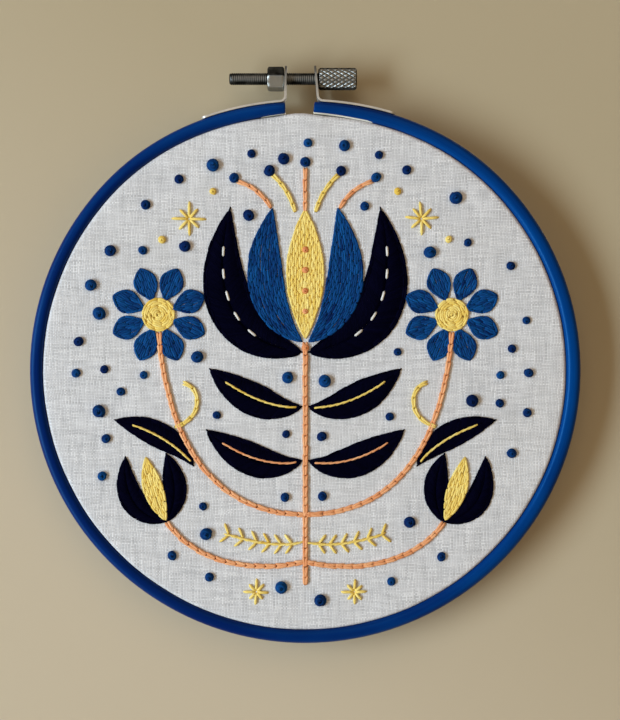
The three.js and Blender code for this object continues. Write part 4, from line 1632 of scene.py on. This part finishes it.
MIDDLE_STEMS = [
    {"thread": "orange", "places": [(0, -63), (0, -20), (0, 9)], "width": 0.95},
    {"thread": "orange", "places": [(0, 47), (0, 55), (0, 60)], "width": 0.78},
]
MIDDLE_PETAL = {"base": (0, 10), "bend": (0, 30), "tip": (0, 48), "width": 11.0}
MIDDLE_KNOTS = [
    {"thread": "orange", "out": 0.3, "rows": [(0, 18, 0.95), (0, 24, 0.95), (0, 30, 0.95), (0, 36, 0.95)]},
    {"thread": "orange", "out": 0.0, "rows": [(0, 7.2, 1.25)]},
    {"thread": "blue", "out": 0.0, "rows": [(0, 61.5, 1.6)]},
]
print(len(SATIN_SHAPES) + len(SPLIT_SHAPES), "shapes for each half")

# %% [markdown]
# Now the tables are stitched, first the lines, then what lies over them. The left half is the right one
# with its sideways numbers turned round. It is stitched again, not copied, so that no two stitches match
# exactly.

# %% Stitch the spray
def to_side(side, place):
    return (side * place[0], *place[1:])


def leaf_on_side(side, row):
    turned = {key: to_side(side, row[key]) for key in ("base", "bend", "tip")}
    return {**row, **turned}


def dress_satin(leaf):
    """A vein or seed stitches along the spine of a satin shape, at hundredths of its length."""
    spine = leaf_shape(leaf, 101)[0]
    if "vein" in leaf:
        stem(leaf["vein"], spine[VEIN["hundredths"]], VEIN["out"], VEIN["crossing"])
    for seed in range(leaf.get("seeds", 0)):
        start = SEED["first"] + SEED["apart"] * seed
        straight("white", [(spine[start], spine[start + SEED["length"]])], SEED["width"], SEED["out"])


def sprig(side):
    """A fine stem with pairs of small straight leaflets."""
    places = [to_side(side, place) for place in SPRIG["places"]]
    stem("yellow", places)
    route = bezier(places, np.linspace(SPRIG["first"], SPRIG["last"], SPRIG["leaflets"]))
    for row in (-1, 1):
        slant = SPRIG["ahead"] * ahead_on(route) + SPRIG["aside"] * row * left_of(route)
        straight("yellow", list(zip(route, route + slant * SPRIG["length"])), SPRIG["width"])


def daisy(side):
    """Petals of split stitch round a disc of its rings."""
    middle = np.array(to_side(side, DAISY["middle"]))
    for petal in range(DAISY["petals"]):
        turn = math.pi * (2 * petal + 1) / DAISY["petals"]
        outward = np.array((math.cos(turn), math.sin(turn)))
        base, tip = middle + outward * DAISY["inner"], middle + outward * DAISY["outer"]
        leaf = {"base": base, "bend": (base + tip) / 2, "tip": tip}
        split_fill({**leaf, "width": DAISY["width"], "belly": DAISY["belly"]}, "blue")
    split_disc("yellow", middle, DAISY["disc"])


for row in MIDDLE_STEMS:
    split_line(row["thread"], row["places"], row["width"])
for side in (1, -1):
    for row in STEMS:
        split_line(row["thread"], [to_side(side, place) for place in row["places"]], row["width"])
    for row in SATIN_SHAPES:
        leaf = leaf_on_side(side, row)
        satin(leaf, "navy")
        dress_satin(leaf)
    for row in SPLIT_SHAPES:
        split_fill(leaf_on_side(side, row), row["thread"])
    daisy(side)
    sprig(side)
    for row in STARS:
        star("yellow", np.array(to_side(side, row["middle"])), row["radius"])
    for thread, row in ACCENT_KNOTS:
        knots(thread, [to_side(side, row)])
split_fill(MIDDLE_PETAL, "yellow")
for row in MIDDLE_KNOTS:
    knots(row["thread"], row["rows"], row["out"])
print(sum(len(batches) for batches in laid.values()), "batches of stitches")

# %% [markdown]
# Blue knots are scattered over the rest of the cloth. They are placed by trial: a seeded random place is
# kept only if it is clear of every motif, of the rim and of the knots before it. Behind the cloth the
# thread is carried from each knot to the nearest earlier one, if it is close, which a look at the back
# will show.

# %% Scattered knots
SCATTER = {"tries": 6000, "most": 64, "rim": 68.0, "from_motif": 4.4, "apart": 8.2, "thinned": 3}
LARGE_KNOT = 1.85
SMALL_KNOT = 1.38
LARGE_EVERY = 3
CARRIED = {"furthest": 2.2 * SCATTER["apart"], "width": 0.55}


def scatter():
    stitched = np.concatenate(motif_places)[::SCATTER["thinned"]]
    kept = []
    for place in needle.uniform(-SCATTER["rim"], SCATTER["rim"], (SCATTER["tries"], 2)):
        if len(kept) == SCATTER["most"] or np.linalg.norm(place) > SCATTER["rim"]:
            continue
        clear = np.linalg.norm(stitched - place, axis=1).min() > SCATTER["from_motif"]
        if clear and all(np.linalg.norm(place - other) > SCATTER["apart"] for other in kept):
            kept.append(place)
    return kept


scattered = scatter()
radii = [LARGE_KNOT if i % LARGE_EVERY == 0 else SMALL_KNOT for i in range(len(scattered))]
knots("blue", [(*place, radius) for place, radius in zip(scattered, radii)])
carried = []
for i, place in enumerate(scattered[1:], start=1):
    nearest = min(scattered[:i], key=lambda other: np.linalg.norm(place - other))
    if np.linalg.norm(place - nearest) < CARRIED["furthest"]:
        carried.append(((*place, 0), (*nearest, 0)))
lay_behind("blue", carried, CARRIED["width"])
print(len(scattered), "scattered knots,", len(carried), "carried threads behind")

# %% [markdown]
# All the stitches of one cotton become two meshes, one in front of the cloth and one behind it, filled
# straight from the arrays.

# %% Stitched pieces
def sew(thread, batches, name):
    """One piece of batches of stitches in a thread."""
    vertices, faces, strand, tones = zip(*batches)
    starts = np.cumsum([0] + [len(batch) for batch in vertices[:-1]])
    faces = np.concatenate([batch + start for batch, start in zip(faces, starts)])
    vertices = np.concatenate(vertices)
    mesh = bpy.data.meshes.new(name)
    mesh.vertices.add(len(vertices))
    mesh.vertices.foreach_set("co", vertices.ravel())
    mesh.loops.add(faces.size)
    mesh.loops.foreach_set("vertex_index", faces.ravel())
    mesh.polygons.add(len(faces))
    mesh.polygons.foreach_set("loop_start", np.arange(0, faces.size, 4))
    mesh.update(calc_edges=True)
    mesh.uv_layers.new(name="strand").data.foreach_set("uv", np.concatenate(strand).ravel())
    mesh.attributes.new("stitch_tone", "FLOAT", "POINT").data.foreach_set("value", np.concatenate(tones))
    return keep(name, mesh, THREADS[thread])


stitched = [sew(thread, laid[thread], "stitches_" + thread) for thread in THREADS]
stitched += [sew(thread, laid_behind[thread], "back_stitches_" + thread) for thread in THREADS]
